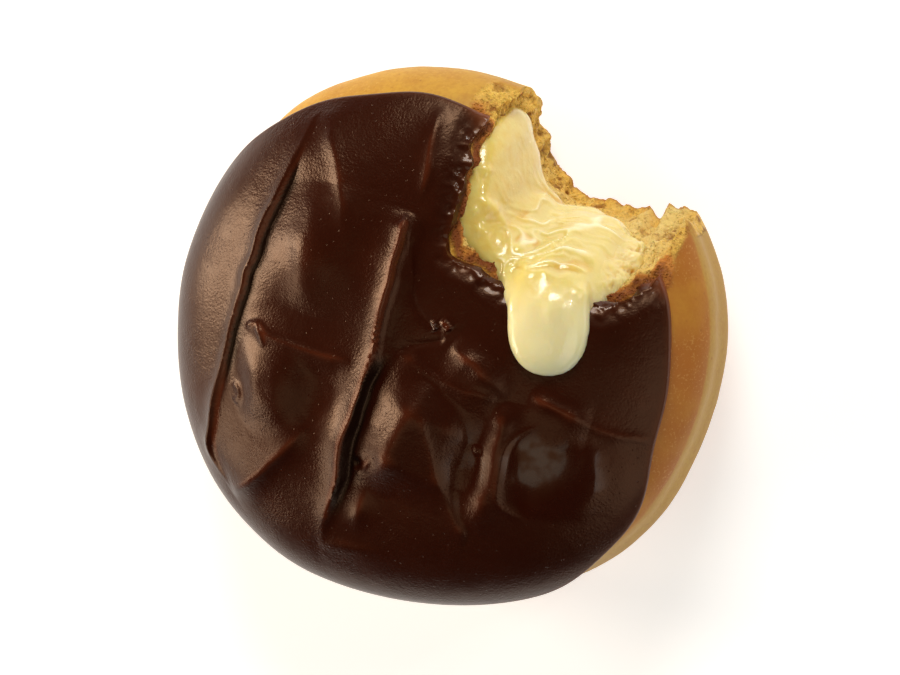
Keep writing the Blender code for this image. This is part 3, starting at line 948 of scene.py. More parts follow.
@dataclass(frozen=True)
class Bite:
    """The bite, a slanted cone with a scallop for each tooth and a torn, porous wall."""

    low: float = 3.0 * MM
    top: float = 33.0 * MM
    low_centre: tuple[float, float] = (28.9 * MM, 37.0 * MM)
    top_centre: tuple[float, float] = (26.3 * MM, 26.4 * MM)
    low_radius: float = 17.1 * MM
    top_radius: float = 18.4 * MM
    middle: float = 222.0
    low_dents: tuple[Bump, ...] = (
        Bump(227.0, 21.0, 2.6 * MM),
        Bump(275.0, 3.0, 1.2 * MM),
        Bump(285.0, 3.5, -1.6 * MM),
    )
    top_dents: tuple[Bump, ...] = (Bump(204.0, 11.0, 1.2 * MM), Bump(314.0, 8.0, -2.2 * MM))
    tooth: float = 24.0
    tooth_depth: float = 0.9 * MM
    crags: tuple[tuple[float, float], ...] = ((3.4 * MM, 0.75 * MM), (1.7 * MM, 0.4 * MM))
    tears: tuple[tuple[float, float], ...] = ((0.9 * MM, 0.2 * MM), (0.45 * MM, 0.1 * MM))
    pore: float = 0.95 * MM
    pore_level: float = 0.3
    crowding: tuple[float, float] = (0.42, 0.58)
    reach: tuple[float, float] = (-3.0 * MM, 41.0 * MM)
    rings: int = 176
    columns: int = 300

    def share(self, height: Numbers) -> Numbers:
        """0 at the bite's low measure and 1 at its top one."""
        return (height - self.low) / (self.top - self.low)

    def centre(self, height: Numbers) -> Points:
        """The slanted axis at each height, as points of the plan."""
        low, top = np.array(self.low_centre), np.array(self.top_centre)
        return low + self.share(height)[..., None] * (top - low)

    def radius(self, angle: Numbers, height: Numbers) -> Numbers:
        """The smooth wall's radius: a cone, dents that fade up or down it, and |sin| scallops.

        Args:
            angle: The way round the bite's axis.
            height: Height over the base.

        Returns:
            The radius.
        """
        share = self.share(height)
        radius = self.low_radius + share * (self.top_radius - self.low_radius)
        upper = np.clip(share, 0.0, 1.0)
        radius = radius + (1.0 - upper) * sum(dent.at(angle) for dent in self.low_dents)
        radius = radius + upper * sum(dent.at(angle) for dent in self.top_dents)
        turn = np.pi * (angle - np.radians(self.middle)) / np.radians(self.tooth)
        return radius + self.tooth_depth * (np.abs(np.sin(turn)) - 0.5)

    def wall(self, angle: Numbers, height: Numbers, out: Numbers | float = 0.0) -> Points:
        """Points of the smooth wall, moved by out towards the bite's axis.

        Args:
            angle: The way round the bite's axis.
            height: Height over the base.
            out: How far from the wall into the bite.

        Returns:
            The points.
        """
        reach = (self.radius(angle, height) - out)[..., None]
        plan = self.centre(height) + reach * np.stack([np.cos(angle), np.sin(angle)], axis=-1)
        return np.concatenate([plan, height[..., None]], axis=-1)

    def polar(self, points: Points) -> tuple[Numbers, Numbers]:
        """The angle round the bite's axis and the distance from it."""
        offset = points[..., :2] - self.centre(points[..., 2])
        return np.arctan2(offset[..., 1], offset[..., 0]), np.linalg.norm(offset, axis=-1)

    def depth(self, points: Points, margin: Numbers | float = 0.0) -> Numbers:
        """How far points lie inside the bite, made wider by a margin; below 0 in the dough."""
        angle, distance = self.polar(points)
        return self.radius(angle, points[..., 2]) + margin - distance

    def ragged(self, wall: Points) -> Numbers:
        """How much further the tear goes: broad crags, fine tears and the crumb's hollows.

        Args:
            wall: Points of the smooth wall.

        Returns:
            The extra depth at each point.
        """
        tear = sum(size * Grain.soft(wall, cell, 17) for cell, size in self.tears)
        return self.crag(wall) + tear + self.pore * (Grain.crumb(wall) - self.pore_level)

    def crag(self, wall: Points) -> Numbers:
        """The broad crags alone, which the icing's edge follows too."""
        return sum(size * Grain.soft(wall, cell, 11) for cell, size in self.crags)

    def cutter(self, name: str, rough: Callable[[Points], Numbers]) -> bpy.types.Object:
        """The space that the bite takes out: rings up the slanted axis, closed by flat ends.

        The columns crowd together on the side that meets the dough.

        Args:
            name: The object's name.
            rough: Gives the wall's extra depth at points of the smooth wall.

        Returns:
            The closed object.
        """
        u = (np.arange(self.columns) + 0.5) / self.columns * 2.0 - 1.0
        turn = np.radians(self.middle) + crowded(u, self.crowding)
        height, angle = np.meshgrid(np.linspace(*self.reach, self.rings), turn, indexing="ij")
        wall = self.wall(angle, height)
        return Mesher.closed_grid(name, self.wall(angle, height, -rough(wall)))


@dataclass(frozen=True)
class Fold:
    """One fold of the icing, its crest run through points of the plan, all in millimetres.

    Left and right are the widths over which it falls off to either side of the way the points
    run, crest how round its top is, and fade the share of the run over which each end rises.
    """

    points: tuple[tuple[float, float], ...]
    height: float
    left: float
    right: float
    crest: float = 0.4
    fade: float = 0.2

    def path(self, steps: int = 6) -> Points:
        """A Catmull-Rom curve through the points: each span is a cubic from its neighbours.

        Args:
            steps: Points for each span.

        Returns:
            The curve's points in metres.
        """
        knots = np.array([self.points[0], *self.points, self.points[-1]], float) * MM
        share = np.linspace(0.0, 1.0, steps, endpoint=False)[:, None]
        spans = []
        for a, b, c, d in zip(knots, knots[1:], knots[2:], knots[3:]):
            bend = (2 * b, c - a, 2 * a - 5 * b + 4 * c - d, 3 * b - a - 3 * c + d)
            spans.append(0.5 * (bend[0] + bend[1] * share + bend[2] * share**2 + bend[3] * share**3))
        return np.concatenate([*spans, knots[-2:-1]])

    def at(self, x: Numbers, y: Numbers) -> Numbers:
        """The fold's height: exp(-distance / width), rounded at the crest, its ends eased in.

        Args:
            x: Places in the plan.
            y: Places in the plan.

        Returns:
            The height over the icing's even thickness.
        """
        path = self.path()
        start, run = path[:-1], np.diff(path, axis=0)
        offset = np.stack([x, y], axis=-1)[..., None, :] - start
        share = np.clip((offset * run).sum(axis=-1) / (run**2).sum(axis=-1), 0.0, 1.0)
        offset = offset - share[..., None] * run
        away = np.hypot(offset[..., 0], offset[..., 1])
        lean = (run[:, 0] * offset[..., 1] - run[:, 1] * offset[..., 0]) / np.hypot(run[:, 0], run[:, 1])
        nearest = np.argmin(away, axis=-1)[..., None]
        away, share, lean = (np.take_along_axis(a, nearest, axis=-1)[..., 0] for a in (away, share, lean))
        lean = np.clip(lean / np.maximum(away, TINY), -1.0, 1.0)
        width = ((self.left + self.right) + (self.left - self.right) * lean) / 2.0 * MM
        crest = self.crest * MM
        drop = (np.sqrt(away**2 + crest**2) - crest) / width
        travel = (nearest[..., 0] + share) / len(run)
        ends = ease(0.0, self.fade, travel) * ease(1.0, 1.0 - self.fade, travel)
        return self.height * MM * ends * np.exp(-drop)


@dataclass(frozen=True)
class Pad:
    """A pad or a hollow of the icing: an oval plateau with soft sides, in millimetres."""

    middle: tuple[float, float]
    half: tuple[float, float]
    height: float
    turn: float
    inner: float
    outer: float
    power = 2.6

    def share(self, x: Numbers, y: Numbers) -> Numbers:
        """1 on the plateau, 0 outside, by the oval's own measure (|u|^n + |v|^n)^(1/n).

        Args:
            x: Places in the plan.
            y: Places in the plan.

        Returns:
            The share at each place.
        """
        turn = np.radians(self.turn)
        dx, dy = x - self.middle[0] * MM, y - self.middle[1] * MM
        u = (dx * np.cos(turn) + dy * np.sin(turn)) / (self.half[0] * MM)
        v = (dy * np.cos(turn) - dx * np.sin(turn)) / (self.half[1] * MM)
        oval = (np.abs(u) ** self.power + np.abs(v) ** self.power) ** (1 / self.power)
        return 1.0 - ease(self.inner, self.outer, oval)

    def at(self, x: Numbers, y: Numbers) -> Numbers:
        """The pad's height at each place."""
        return self.height * MM * self.share(x, y)


WEST_CREST = (
    (-15.8, 36.5), (-21.0, 26.4), (-26.1, 14.1), (-30.9, -1.3), (-34.3, -12.6),
    (-35.0, -18.0), (-31.1, -24.3),
)
WEST_GROOVE = ((-18.3, 30.3), (-23.1, 19.2), (-28.0, 6.9), (-32.5, -7.8))
MIDDLE_CREST = ((-0.1, 20.6), (-1.5, 16.0), (-4.7, 4.7), (-8.0, -5.8), (-11.1, -14.6), (-16.3, -32.0))
MIDDLE_GROOVE = ((-3.9, 0.0), (-7.4, -6.5), (-10.6, -17.3), (-14.7, -27.5))
EAST_SWELL = ((4.2, -3.8), (1.4, -7.8), (-1.6, -12.0), (-4.2, -16.8), (-6.0, -22.4))
TROUGH_CREST = ((15.9, -6.2), (14.7, -10.2), (12.8, -15.8), (10.5, -22.3), (8.4, -28.0))
GROOVES = (
    Fold(WEST_GROOVE, -0.6, 1.4, 0.4, 0.15, 0.2),
    Fold(MIDDLE_GROOVE, -1.1, 2.4, 0.5, 0.2, 0.25),
)
FOLDS = (
    *GROOVES,
    Fold(WEST_CREST, 1.0, 0.4, 1.4, 0.15, 0.28),
    Fold(((-15.0, 25.5), (-16.2, 14.5), (-17.6, 4.5)), 2.2, 6.0, 2.7, 3.0, 0.5),
    Fold(((-16.4, 37.0), (-13.2, 30.5), (-11.0, 22.5), (-9.4, 14.0)), 1.2, 5.5, 2.6, 0.3, 0.4),
    Fold(((3.6, 36.4), (1.9, 30.5), (0.9, 22.0)), 0.7, 1.0, 1.3, 0.2, 0.4),
    Fold(MIDDLE_CREST, 1.7, 0.6, 2.0, 0.2, 0.15),
    Fold(EAST_SWELL, 2.7, 5.0, 3.8, 1.6, 0.32),
    Fold(((-7.7, -20.8), (-9.3, -25.2), (-10.9, -29.6)), 0.7, 1.5, 2.0, 0.5, 0.5),
    Fold(((-27.9, 2.9), (-18.0, -0.2), (-9.4, -1.6)), 0.75, 0.9, 3.0, 0.25, 0.3),
    Fold(((-32.0, -24.3), (-28.6, -22.1), (-20.5, -15.6), (-16.3, -12.0)), 1.6, 4.2, 2.0, 0.15, 0.45),
    Fold(((-2.6, -0.4), (5.9, -3.7), (14.2, -6.2)), 0.45, 0.7, 1.8, 0.25, 0.2),
    Fold(((6.4, 1.4), (9.2, -0.5), (12.2, -3.0), (15.8, -6.0)), 1.5, 1.8, 2.6, 0.3, 0.4),
    Fold(((18.6, -5.5), (23.2, -8.3), (27.6, -10.3)), 1.0, 1.4, 1.8, 0.3, 0.35),
    Fold(((25.5, -9.6), (30.8, -11.8), (36.7, -13.3)), 0.35, 0.6, 0.8, 0.2, 0.25),
    Fold(((-17.2, -31.0), (-12.4, -31.4), (-2.9, -32.0)), 0.5, 1.2, 2.2, 0.4, 0.5),
    Fold(TROUGH_CREST, 1.0, 1.6, 1.6, 0.9, 0.25),
    Fold(((2.7, -8.5), (3.0, -15.3), (5.9, -26.2), (8.1, -28.2)), 0.4, 0.6, 2.0, 0.25, 0.2),
)
POOL = Pad((21.4, -18.0), (7.5, 6.9), 0.2, -8.0, 0.75, 1.1)
TROUGH = Pad((8.6, -17.5), (4.4, 10.0), -0.9, -14.0, 0.2, 1.15)
PADS = (
    POOL,
    TROUGH,
    Pad((-23.5, -6.5), (6.5, 7.5), 1.5, 0.0, 0.15, 1.1),
    Pad((-14.5, -6.5), (4.5, 6.5), -0.7, 0.0, 0.1, 1.2),
)
POOL_RIM = (
    (17.2, -24.6), (14.2, -23.8), (12.6, -21.6), (13.6, -17.0), (15.6, -12.6), (18.6, -10.7),
    (23.5, -10.4),
)
SHINY_FOLDS = (
    Fold(((3.3, 5.2), (3.7, 3.2)), 0.5, 0.35, 0.35, 0.12, 0.3),
    Fold(((4.5, 5.2), (5.6, 4.2), (6.4, 3.5)), 0.6, 0.35, 0.45, 0.12, 0.3),
)
CREASES = (
    Fold(POOL_RIM, 0.22, 0.35, 0.5, 0.15, 0.25),
    Fold(((-0.8, 19.6), (0.2, 13.3), (0.1, 8.2), (3.0, 4.2), (5.7, 3.4)), -0.3, 0.7, 0.7, 0.2),
    Fold(((5.7, 2.1), (3.0, 1.3), (-0.2, 0.7), (-3.0, -0.2)), -0.4, 0.5, 0.7, 0.15),
    Fold(((-30.2, -6.0), (-29.3, -7.1), (-29.3, -8.4), (-30.3, -9.3)), 0.4, 0.4, 0.4, 0.12),
    Fold(((-27.2, 2.3), (-26.1, 3.1), (-24.8, 2.8), (-24.3, 1.2), (-23.8, -0.9)), 0.4, 0.4, 0.4, 0.12),
    *SHINY_FOLDS,
)
DIMPLES = (
    Pad((-8.9, -17.4), (1.0, 1.2), -0.5, 0.0, 0.2, 1.2),
    Pad((-7.3, -17.2), (0.6, 1.6), 0.2, -25.0, 0.1, 1.2),
    Pad((10.1, -14.8), (0.9, 0.9), 0.2, 0.0, 0.2, 1.2),
)


@dataclass(frozen=True)
class Icing:
    """The icing: a sheet laid over the dough down to a wavy line, gathered in folds."""

    bun: Bun
    bite: Bite
    gap: float = 0.12 * MM
    thickness: float = 1.93 * MM
    edge: float = 22.3 * MM
    edge_tilt: tuple[float, float] = (4.2 * MM, 2.2 * MM)
    edge_waves: tuple[Wave, ...] = (Wave(9, 0.3 * MM, 270.0), Wave(14, 0.15 * MM, 10.0))
    edge_swags: tuple[Bump, ...] = (
        Bump(338.0, 16.0, 1.2 * MM),
        Bump(10.0, 12.0, 0.7 * MM),
        Bump(95.0, 24.0, 2.2 * MM),
        Bump(125.0, 14.0, 2.4 * MM),
    )
    bead: float = 0.05
    break_back: float = 0.6 * MM
    breaks: tuple[Bump, ...] = (
        Bump(200.0, 7.0, 2.0 * MM),
        Bump(212.0, 8.0, 2.2 * MM),
        Bump(224.0, 6.0, 1.0 * MM),
        Bump(297.0, 5.0, 0.6 * MM),
    )
    break_grain: tuple[float, float] = (1.6 * MM, 0.4 * MM)
    wander: tuple[tuple[float, float], ...] = ((7.0 * MM, 0.6 * MM), (2.8 * MM, 0.25 * MM))
    broad: tuple[float, float] = (11.0 * MM, 0.25 * MM)
    thinning: float = 0.55
    thinning_run: Run = (-4.0 * MM, 0.5 * MM)
    thinnest: float = 0.6 * MM
    edge_lumps: tuple[float, float] = (1.3 * MM, 0.5 * MM)
    rim_power: float = 1.1
    rim_crowding: float = 1.3
    shade: float = 0.7 * MM
    hump_half: float = 46.0 * MM
    hump_step: float = 0.4 * MM
    hump_reach: int = 4
    # Run of the crest mark, which is partly a painted highlight.
    crest_highlight_run: Run = (0.0, 0.5 * MM)
    # Painted shade runs: over the first, dips of the relief darken; over the next, crest sides beside
    # grooves.
    groove_shade_run: Run = (-0.3 * MM, -0.9 * MM)
    shade_run: Run = (0.05 * MM, -0.3 * MM)
    lip_run: Run = (-3.5 * MM, -1.0 * MM)
    broken_run: Run = (-1.6 * MM, 0.2 * MM)
    rim_run: Run = (3.0 * MM, 0.3 * MM)
    low_run: Run = (0.1 * MM, -0.2 * MM)
    raised_run: Run = (0.1 * MM, 0.35 * MM)
    more_wander: float = 1.6
    pool_wet: float = 0.9
    trough_wet: float = 0.7
    lip_wet: float = 0.6
    lip_rim: float = 0.25
    broken_thin: float = 0.15
    sharp: float = 55.0
    columns: int = 470
    outer_rings: int = 172
    inner_rings: int = 10

    def relief(self, x: Numbers, y: Numbers) -> Numbers:
        """Folds, pads, creases and dimples, which wander a little, over the even thickness.

        Args:
            x: Places in the plan.
            y: Places in the plan.

        Returns:
            The height of the relief.
        """
        cell, size = self.broad
        broad = size * Grain.soft(np.stack([x, y, 0 * x], axis=-1), cell, 5)
        x, y = self.wandered(x, y)
        return broad + sum(form.at(x, y) for form in (*FOLDS, *PADS, *CREASES, *DIMPLES))

    def wandered(self, x: Numbers, y: Numbers) -> tuple[Numbers, Numbers]:
        """Places in the plan, shifted a little by noise, at which the forms are read.

        Args:
            x: Places in the plan.
            y: Places in the plan.

        Returns:
            The shifted places.
        """
        flat = np.stack([x, y, 0 * x], axis=-1)
        for cell, size in self.wander:
            x = x + size * Grain.soft(flat, cell, 71)
            y = y + size * Grain.soft(flat, cell, 72)
        return x, y

    def rim(self, turn: Numbers) -> Numbers:
        """The tilt, on the bun's section, of the icing's lower line.

        Args:
            turn: The way round the doughnut.

        Returns:
            The tilt.
        """
        height = self.edge + self.edge_tilt[0] * np.cos(turn) + self.edge_tilt[1] * np.sin(turn)
        height = height + sum(part.at(turn) for part in (*self.edge_waves, *self.edge_swags))
        return np.arcsin(((height - self.bun.waist) / self.bun.rise) ** (self.bun.rise_power / 2.0))

    def set_back(self, points: Points) -> Numbers:
        """How far the icing's broken edge stands back from the bite's wall beside each point."""
        angle, _ = self.bite.polar(points)
        return self.break_back + sum(part.at(angle) for part in self.breaks)

    def past_edge(self, points: Points) -> Numbers:
        """How far points lie past the icing's broken edge, towards the bite."""
        return self.bite.depth(points, self.set_back(points))

    def sheet(self, turn: Numbers, reach: Numbers, outer: bool) -> Points:
        """Points of the sheet's outer or inner skin.

        Args:
            turn: The way round the doughnut.
            reach: 0 at the middle of the top and 1 at the rim.
            outer: Whether the points lie on the outer skin.

        Returns:
            The points.
        """
        tilt = np.pi / 2 + reach * (self.rim(turn) - np.pi / 2)
        if not outer:
            return self.bun.skin(turn, tilt, self.gap)
        bare = self.bun.skin(turn, tilt)
        round_off = 1.0 - np.maximum(0.0, (reach - 1.0) / self.bead + 1.0) ** 2
        near_bite = ease(*self.thinning_run, self.past_edge(bare))
        thickness = self.thickness * (1.0 - self.thinning * near_bite)
        relief = self.relief(bare[..., 0], bare[..., 1])
        lumps = Grain.fractal(bare, self.edge_lumps[0], 2, 81) * self.edge_lumps[1]
        relief = (relief + lumps * near_bite) * ease(1.0, 1.0 - 3.0 * self.bead, reach)
        full = np.maximum(thickness + relief, self.thinnest)
        full = full * np.clip(round_off, 0.0, 1.0) ** self.rim_power
        return self.bun.skin(turn, tilt, self.gap + full)

    def tear(self, wall: Points) -> Numbers:
        """The ragged line where the icing broke, set back from the wall and finer than the crumb.

        Args:
            wall: Points of the smooth wall.

        Returns:
            The depth behind the wall at each point.
        """
        cell, size = self.break_grain
        return self.set_back(wall) + self.bite.crag(wall) + size * Grain.fractal(wall, cell, 3, 31)

    def build(self) -> bpy.types.Object:
        """The icing, cut back from the bite and dressed.

        Returns:
            The finished piece.
        """
        turn = np.arange(self.columns) * 2.0 * np.pi / self.columns
        out = np.linspace(0.0, 1.0, self.outer_rings + 1)[1:]
        near_rim, power = 2 * self.bead, self.rim_crowding
        squeezed = 1.0 - (1.0 - out) ** power * near_rim ** (1.0 - power)
        out = np.where(out > 1.0 - near_rim, squeezed, out)
        back = np.linspace(1.0, 0.0, self.inner_rings + 2)[1:-1]
        outer = self.sheet(*np.meshgrid(turn, out), outer=True)
        inner = self.sheet(*np.meshgrid(turn, back), outer=False)
        icing = Mesher.closed_grid("icing_folds", np.concatenate([outer, inner]))
        Mesher.cut(icing, self.bite.cutter("icing bite", self.tear))
        self.dress(icing)
        return icing

    def dress(self, icing: bpy.types.Object) -> None:
        """Marks crests (partly a painted highlight), grooves (painted shade), wet places, the lower rim
        and the lip, and gives the finish.

        Args:
            icing: The icing's object.
        """
        points = Mesher.places(icing)
        x, y = points[:, 0], points[:, 1]
        hump = self.hump(x, y)
        # groove holds painted shade for the dips and the steep crest sides beside grooves.
        groove = self.shaded(x, y, hump)
        past = self.past_edge(points)
        lip = ease(*self.lip_run, past)
        broken = ease(*self.broken_run, past)
        rim = ease(*self.rim_run, points[:, 2] - self.rim_height(points))
        # The crest mark: partly thinner chocolate, partly a painted highlight along the crests.
        Mesher.mark(icing, "crest", ease(*self.crest_highlight_run, hump) * (1.0 - groove))
        Mesher.mark(icing, "groove", groove)
        Mesher.mark(icing, "wet", np.clip(self.wet(x, y, hump) + self.lip_wet * lip, 0.0, 1.0))
        Mesher.mark(icing, "thin", np.clip(np.maximum(broken * self.broken_thin, rim), 0.0, 1.0))
        Mesher.mark(icing, "rim", np.maximum(rim, self.lip_rim * lip))
        Mesher.smooth(icing, self.sharp)
        icing.data.materials.append(IcingFinish().material())
        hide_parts("icing")
        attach(icing, BODY)

    def shaded(self, x: Numbers, y: Numbers, hump: Numbers) -> Numbers:
        """Painted shade: where the relief dips, and the steep east side of a crest beside a groove,
        facing away from the key light.

        Args:
            x: Places in the plan.
            y: Places in the plan.
            hump: The relief over its own mean, as from hump().

        Returns:
            0 in the open and 1 in the darkest painted shade.
        """
        west = self.hump(x + self.shade, y)
        shades = (replace(fold, height=2.0, left=0.7, right=1.2).at(x, y) for fold in GROOVES)
        beside = np.clip(sum(shades) / MM, 0.0, 1.0)
        return np.maximum(ease(*self.groove_shade_run, hump), ease(*self.shade_run, west) * beside)

    def wet(self, x: Numbers, y: Numbers, hump: Numbers) -> Numbers:
        """Where the icing lies smooth and wet: the pool, the trough and two small folds.

        The pool and the trough are read at places that wander more than the relief does, so
        that their outlines are uneven.

        Args:
            x: Places in the plan.
            y: Places in the plan.
            hump: The relief over its own mean, as from hump().

        Returns:
            0 where it is grainy and up to 1 where it is wet.
        """
        u, v = self.wandered(x, y)
        u, v = u + self.more_wander * (u - x), v + self.more_wander * (v - y)
        low = self.trough_wet * TROUGH.share(u, v) * ease(*self.low_run, hump)
        raised = ease(*self.raised_run, sum(fold.at(x, y) for fold in SHINY_FOLDS))
        return np.maximum(np.maximum(self.pool_wet * POOL.share(u, v), low), raised)

    def hump(self, x: Numbers, y: Numbers) -> Numbers:
        """The relief less its own mean over a square 3.6 mm wide, read from a grid of samples.

        Args:
            x: Places in the plan.
            y: Places in the plan.

        Returns:
            Above 0 on crests and below 0 in grooves.
        """
        half, step, reach = self.hump_half, self.hump_step, self.hump_reach
        line = np.arange(-half, half + step, step)
        height = self.relief(*np.meshgrid(line, line, indexing="ij"))
        mean = height
        for axis in (0, 1):
            shifted = (np.roll(mean, shift, axis) for shift in range(-reach, reach + 1))
            mean = sum(shifted) / (2 * reach + 1)
        over = height - mean
        u, v = (np.clip((part + half) / step, 0.0, len(line) - 2.0) for part in (x, y))
        i, j = u.astype(int), v.astype(int)
        u, v = u - i, v - j
        near = over[i, j] * (1.0 - v) + over[i, j + 1] * v
        far = over[i + 1, j] * (1.0 - v) + over[i + 1, j + 1] * v
        return near * (1.0 - u) + far * u

    def rim_height(self, points: Points) -> Numbers:
        """Height of the icing's lower line beside each point."""
        turn = np.arctan2(points[:, 1], points[:, 0])
        return self.bun.section(turn, self.rim(turn))[1]


@dataclass(frozen=True)
class Welt:
    """One small round swelling of the custard: height * exp(-(distance / radius)²), in millimetres."""

    middle: tuple[float, float, float]
    radius: float
    height: float

    def at(self, points: Points) -> Numbers:
        """The swelling's height at each point."""
        away = np.linalg.norm(points - np.array(self.middle) * MM, axis=-1) / (self.radius * MM)
        return self.height * MM * np.exp(-(away**2))


@dataclass(frozen=True)
class Custard:
    """The custard: a hidden cushion, the swell out of the bite and the drip over the top."""

    bun: Bun
    bite: Bite
    icing: Icing
    pocket_centre: tuple[float, float, float] = (-2.0 * MM, -2.0 * MM, 19.0 * MM)
    pocket_half: tuple[float, float, float] = (26.0 * MM, 26.0 * MM, 8.5 * MM)
    bulge_middle: float = 225.0
    bulge_half: float = 62.0
    bulge_low: float = 10.0 * MM
    bulge_top: float = 32.2 * MM
    bulge_out: float = 3.6 * MM
    bulge_ends: tuple[float, float] = (0.7, 0.95)
    bulge_root: float = 5.0 * MM
    spill_angle: float = 256.0
    spill_half: float = 24.0
    spill_rise: float = 5.4 * MM
    spill_out: float = 2.6 * MM
    drip_middle: tuple[float, float] = (21.4 * MM, 4.8 * MM)
    drip_half: float = 6.2 * MM
    drip_tip: float = 7.6 * MM
    drip_root: float = 11.0 * MM
    drip_root_start: float = 7.0 * MM
    drip_root_bend: float = 0.08 / MM
    drip_thickness: float = 3.4 * MM
    tooth_print: float = 0.3 * MM
    arc_radius: float = 18.0 * MM
    drifts: tuple[tuple[float, float, int], ...] = ((6.0 * MM, 3.2 * MM, 52), (2.6 * MM, 1.4 * MM, 51))
    ridge_height: float = 0.45 * MM
    hollow_depth: float = 0.35 * MM
    lump_height: float = 0.9 * MM
    ridge_cells: tuple[float, float] = (2.8 * MM, 1.3 * MM)
    hollow_cell: float = 4.2 * MM
    busy_runs: tuple[Run, Run] = ((200.0, 228.0), (287.0, 262.0))
    wall_run: Run = (10.5 * MM, 15.0 * MM)
    clear_run: Run = (238.0, 212.0)
    west_clear: float = 0.45
    # Runs of the painted light on the drip: the first towards its south end, the second over its length.
    painted_drip_end_light_run: Run = (2.0 * MM, -3.0 * MM)
    painted_drip_light_run: Run = (13.0 * MM, 6.0 * MM)
    lump_runs: tuple[Run, Run] = ((272.0, 283.0), (9.0 * MM, 11.5 * MM))
    lump_cell: float = 2.2 * MM
    stream_height: float = 0.4 * MM
    stream_cell: float = 1.6 * MM
    stream_stretch: tuple[float, float, float] = (1.0, 5.0, 5.0)
    stream_runs: tuple[Run, Run, Run] = (
        (5.0 * MM, 8.0 * MM),
        (16.0 * MM, 11.0 * MM),
        (24.0 * MM, 28.0 * MM),
    )
    voxel: float = 0.34 * MM
    soften_share: float = 0.5
    soften_times: int = 24
    welts: tuple[Welt, ...] = (
        Welt((9.8, 27.8, 29.3), 0.8, 0.5),
        Welt((10.2, 22.9, 30.7), 0.8, 0.55),
        Welt((11.0, 21.6, 29.8), 1.3, 0.9),
        Welt((12.3, 20.4, 29.0), 1.0, 0.7),
        Welt((8.8, 21.7, 31.5), 0.6, 0.3),
        Welt((9.6, 18.9, 31.8), 0.7, 0.35),
        Welt((15.4, 15.9, 30.9), 0.9, 0.5),
        Welt((16.9, 13.9, 32.8), 0.7, 0.3),
        Welt((26.6, 10.2, 34.6), 1.6, 0.5),
    )

    @staticmethod
    def ball(rings: int, columns: int) -> tuple[Numbers, Numbers, Numbers]:
        """A unit sphere's coordinates on a grid of rings from its upper pole to its lower.

        Args:
            rings: The number of rings.
            columns: The points in each.

        Returns:
            The three coordinates.
        """
        fall = np.pi * (np.arange(rings) + 0.5) / rings
        turn = np.arange(columns) * 2.0 * np.pi / columns
        fall, turn = np.meshgrid(fall, turn, indexing="ij")
        return np.sin(fall) * np.cos(turn), np.sin(fall) * np.sin(turn), np.cos(fall)

    @staticmethod
    def boxy(value: Numbers, power: float) -> Numbers:
        """A sphere's coordinate pushed outwards: its size to a power, its sign kept."""
        return np.sign(value) * np.abs(value) ** power

    def pocket(self) -> Points:
        """The hidden cushion, an ellipsoid."""
        ball = np.stack(self.ball(60, 120), axis=-1)
        return np.array(self.pocket_centre) + ball * np.array(self.pocket_half)

    def bulge(self) -> Points:
        """The swell out of the wall: a boxy ball bent round the bite, its top raised at the spill.

        Returns:
            The grid of points.
        """
        x, y, z = self.ball(160, 240)
        reach = np.where(x < 0.0, *(self.boxy(x, power) for power in self.bulge_ends))
        angle = np.radians(self.bulge_middle + self.bulge_half * reach)
        away = (np.degrees(angle) - self.spill_angle) / self.spill_half
        spill = np.exp(-(away**4))
        top = self.bulge_top + self.spill_rise * spill
        height = (top + self.bulge_low) / 2.0 + (top - self.bulge_low) / 2.0 * self.boxy(z, 0.75)
        swell = self.bulge_out + self.spill_out * spill
        out = self.boxy(y, 0.7) * np.where(y > 0.0, swell, self.bulge_root)
        return replace(self.bite, tooth_depth=self.tooth_print).wall(angle, height, out)

    def drip(self) -> Points:
        """The drip: a thick tongue whose underside lies on the icing.

        Returns:
            The grid of points.
        """
        x, y, z = self.ball(120, 160)
        across = self.drip_middle[0] + self.drip_half * self.boxy(x, 0.85)
        root = self.drip_root * self.boxy(np.maximum(y, 0.0), 0.65)
        along = self.drip_middle[1] + np.where(y > 0.0, root, self.drip_tip * y)
        rest = self.bun.top(across, along) + self.icing.gap + self.icing.thickness * 0.85
        rest = rest + self.icing.relief(across, along)
        rest = rest - self.drip_root_bend * np.maximum(along - self.drip_root_start, 0.0) ** 2
        lift = np.where(z > 0.0, self.drip_thickness * self.boxy(z, 0.8), 0.5 * MM * z)
        return np.stack([across, along, rest + lift], axis=-1)

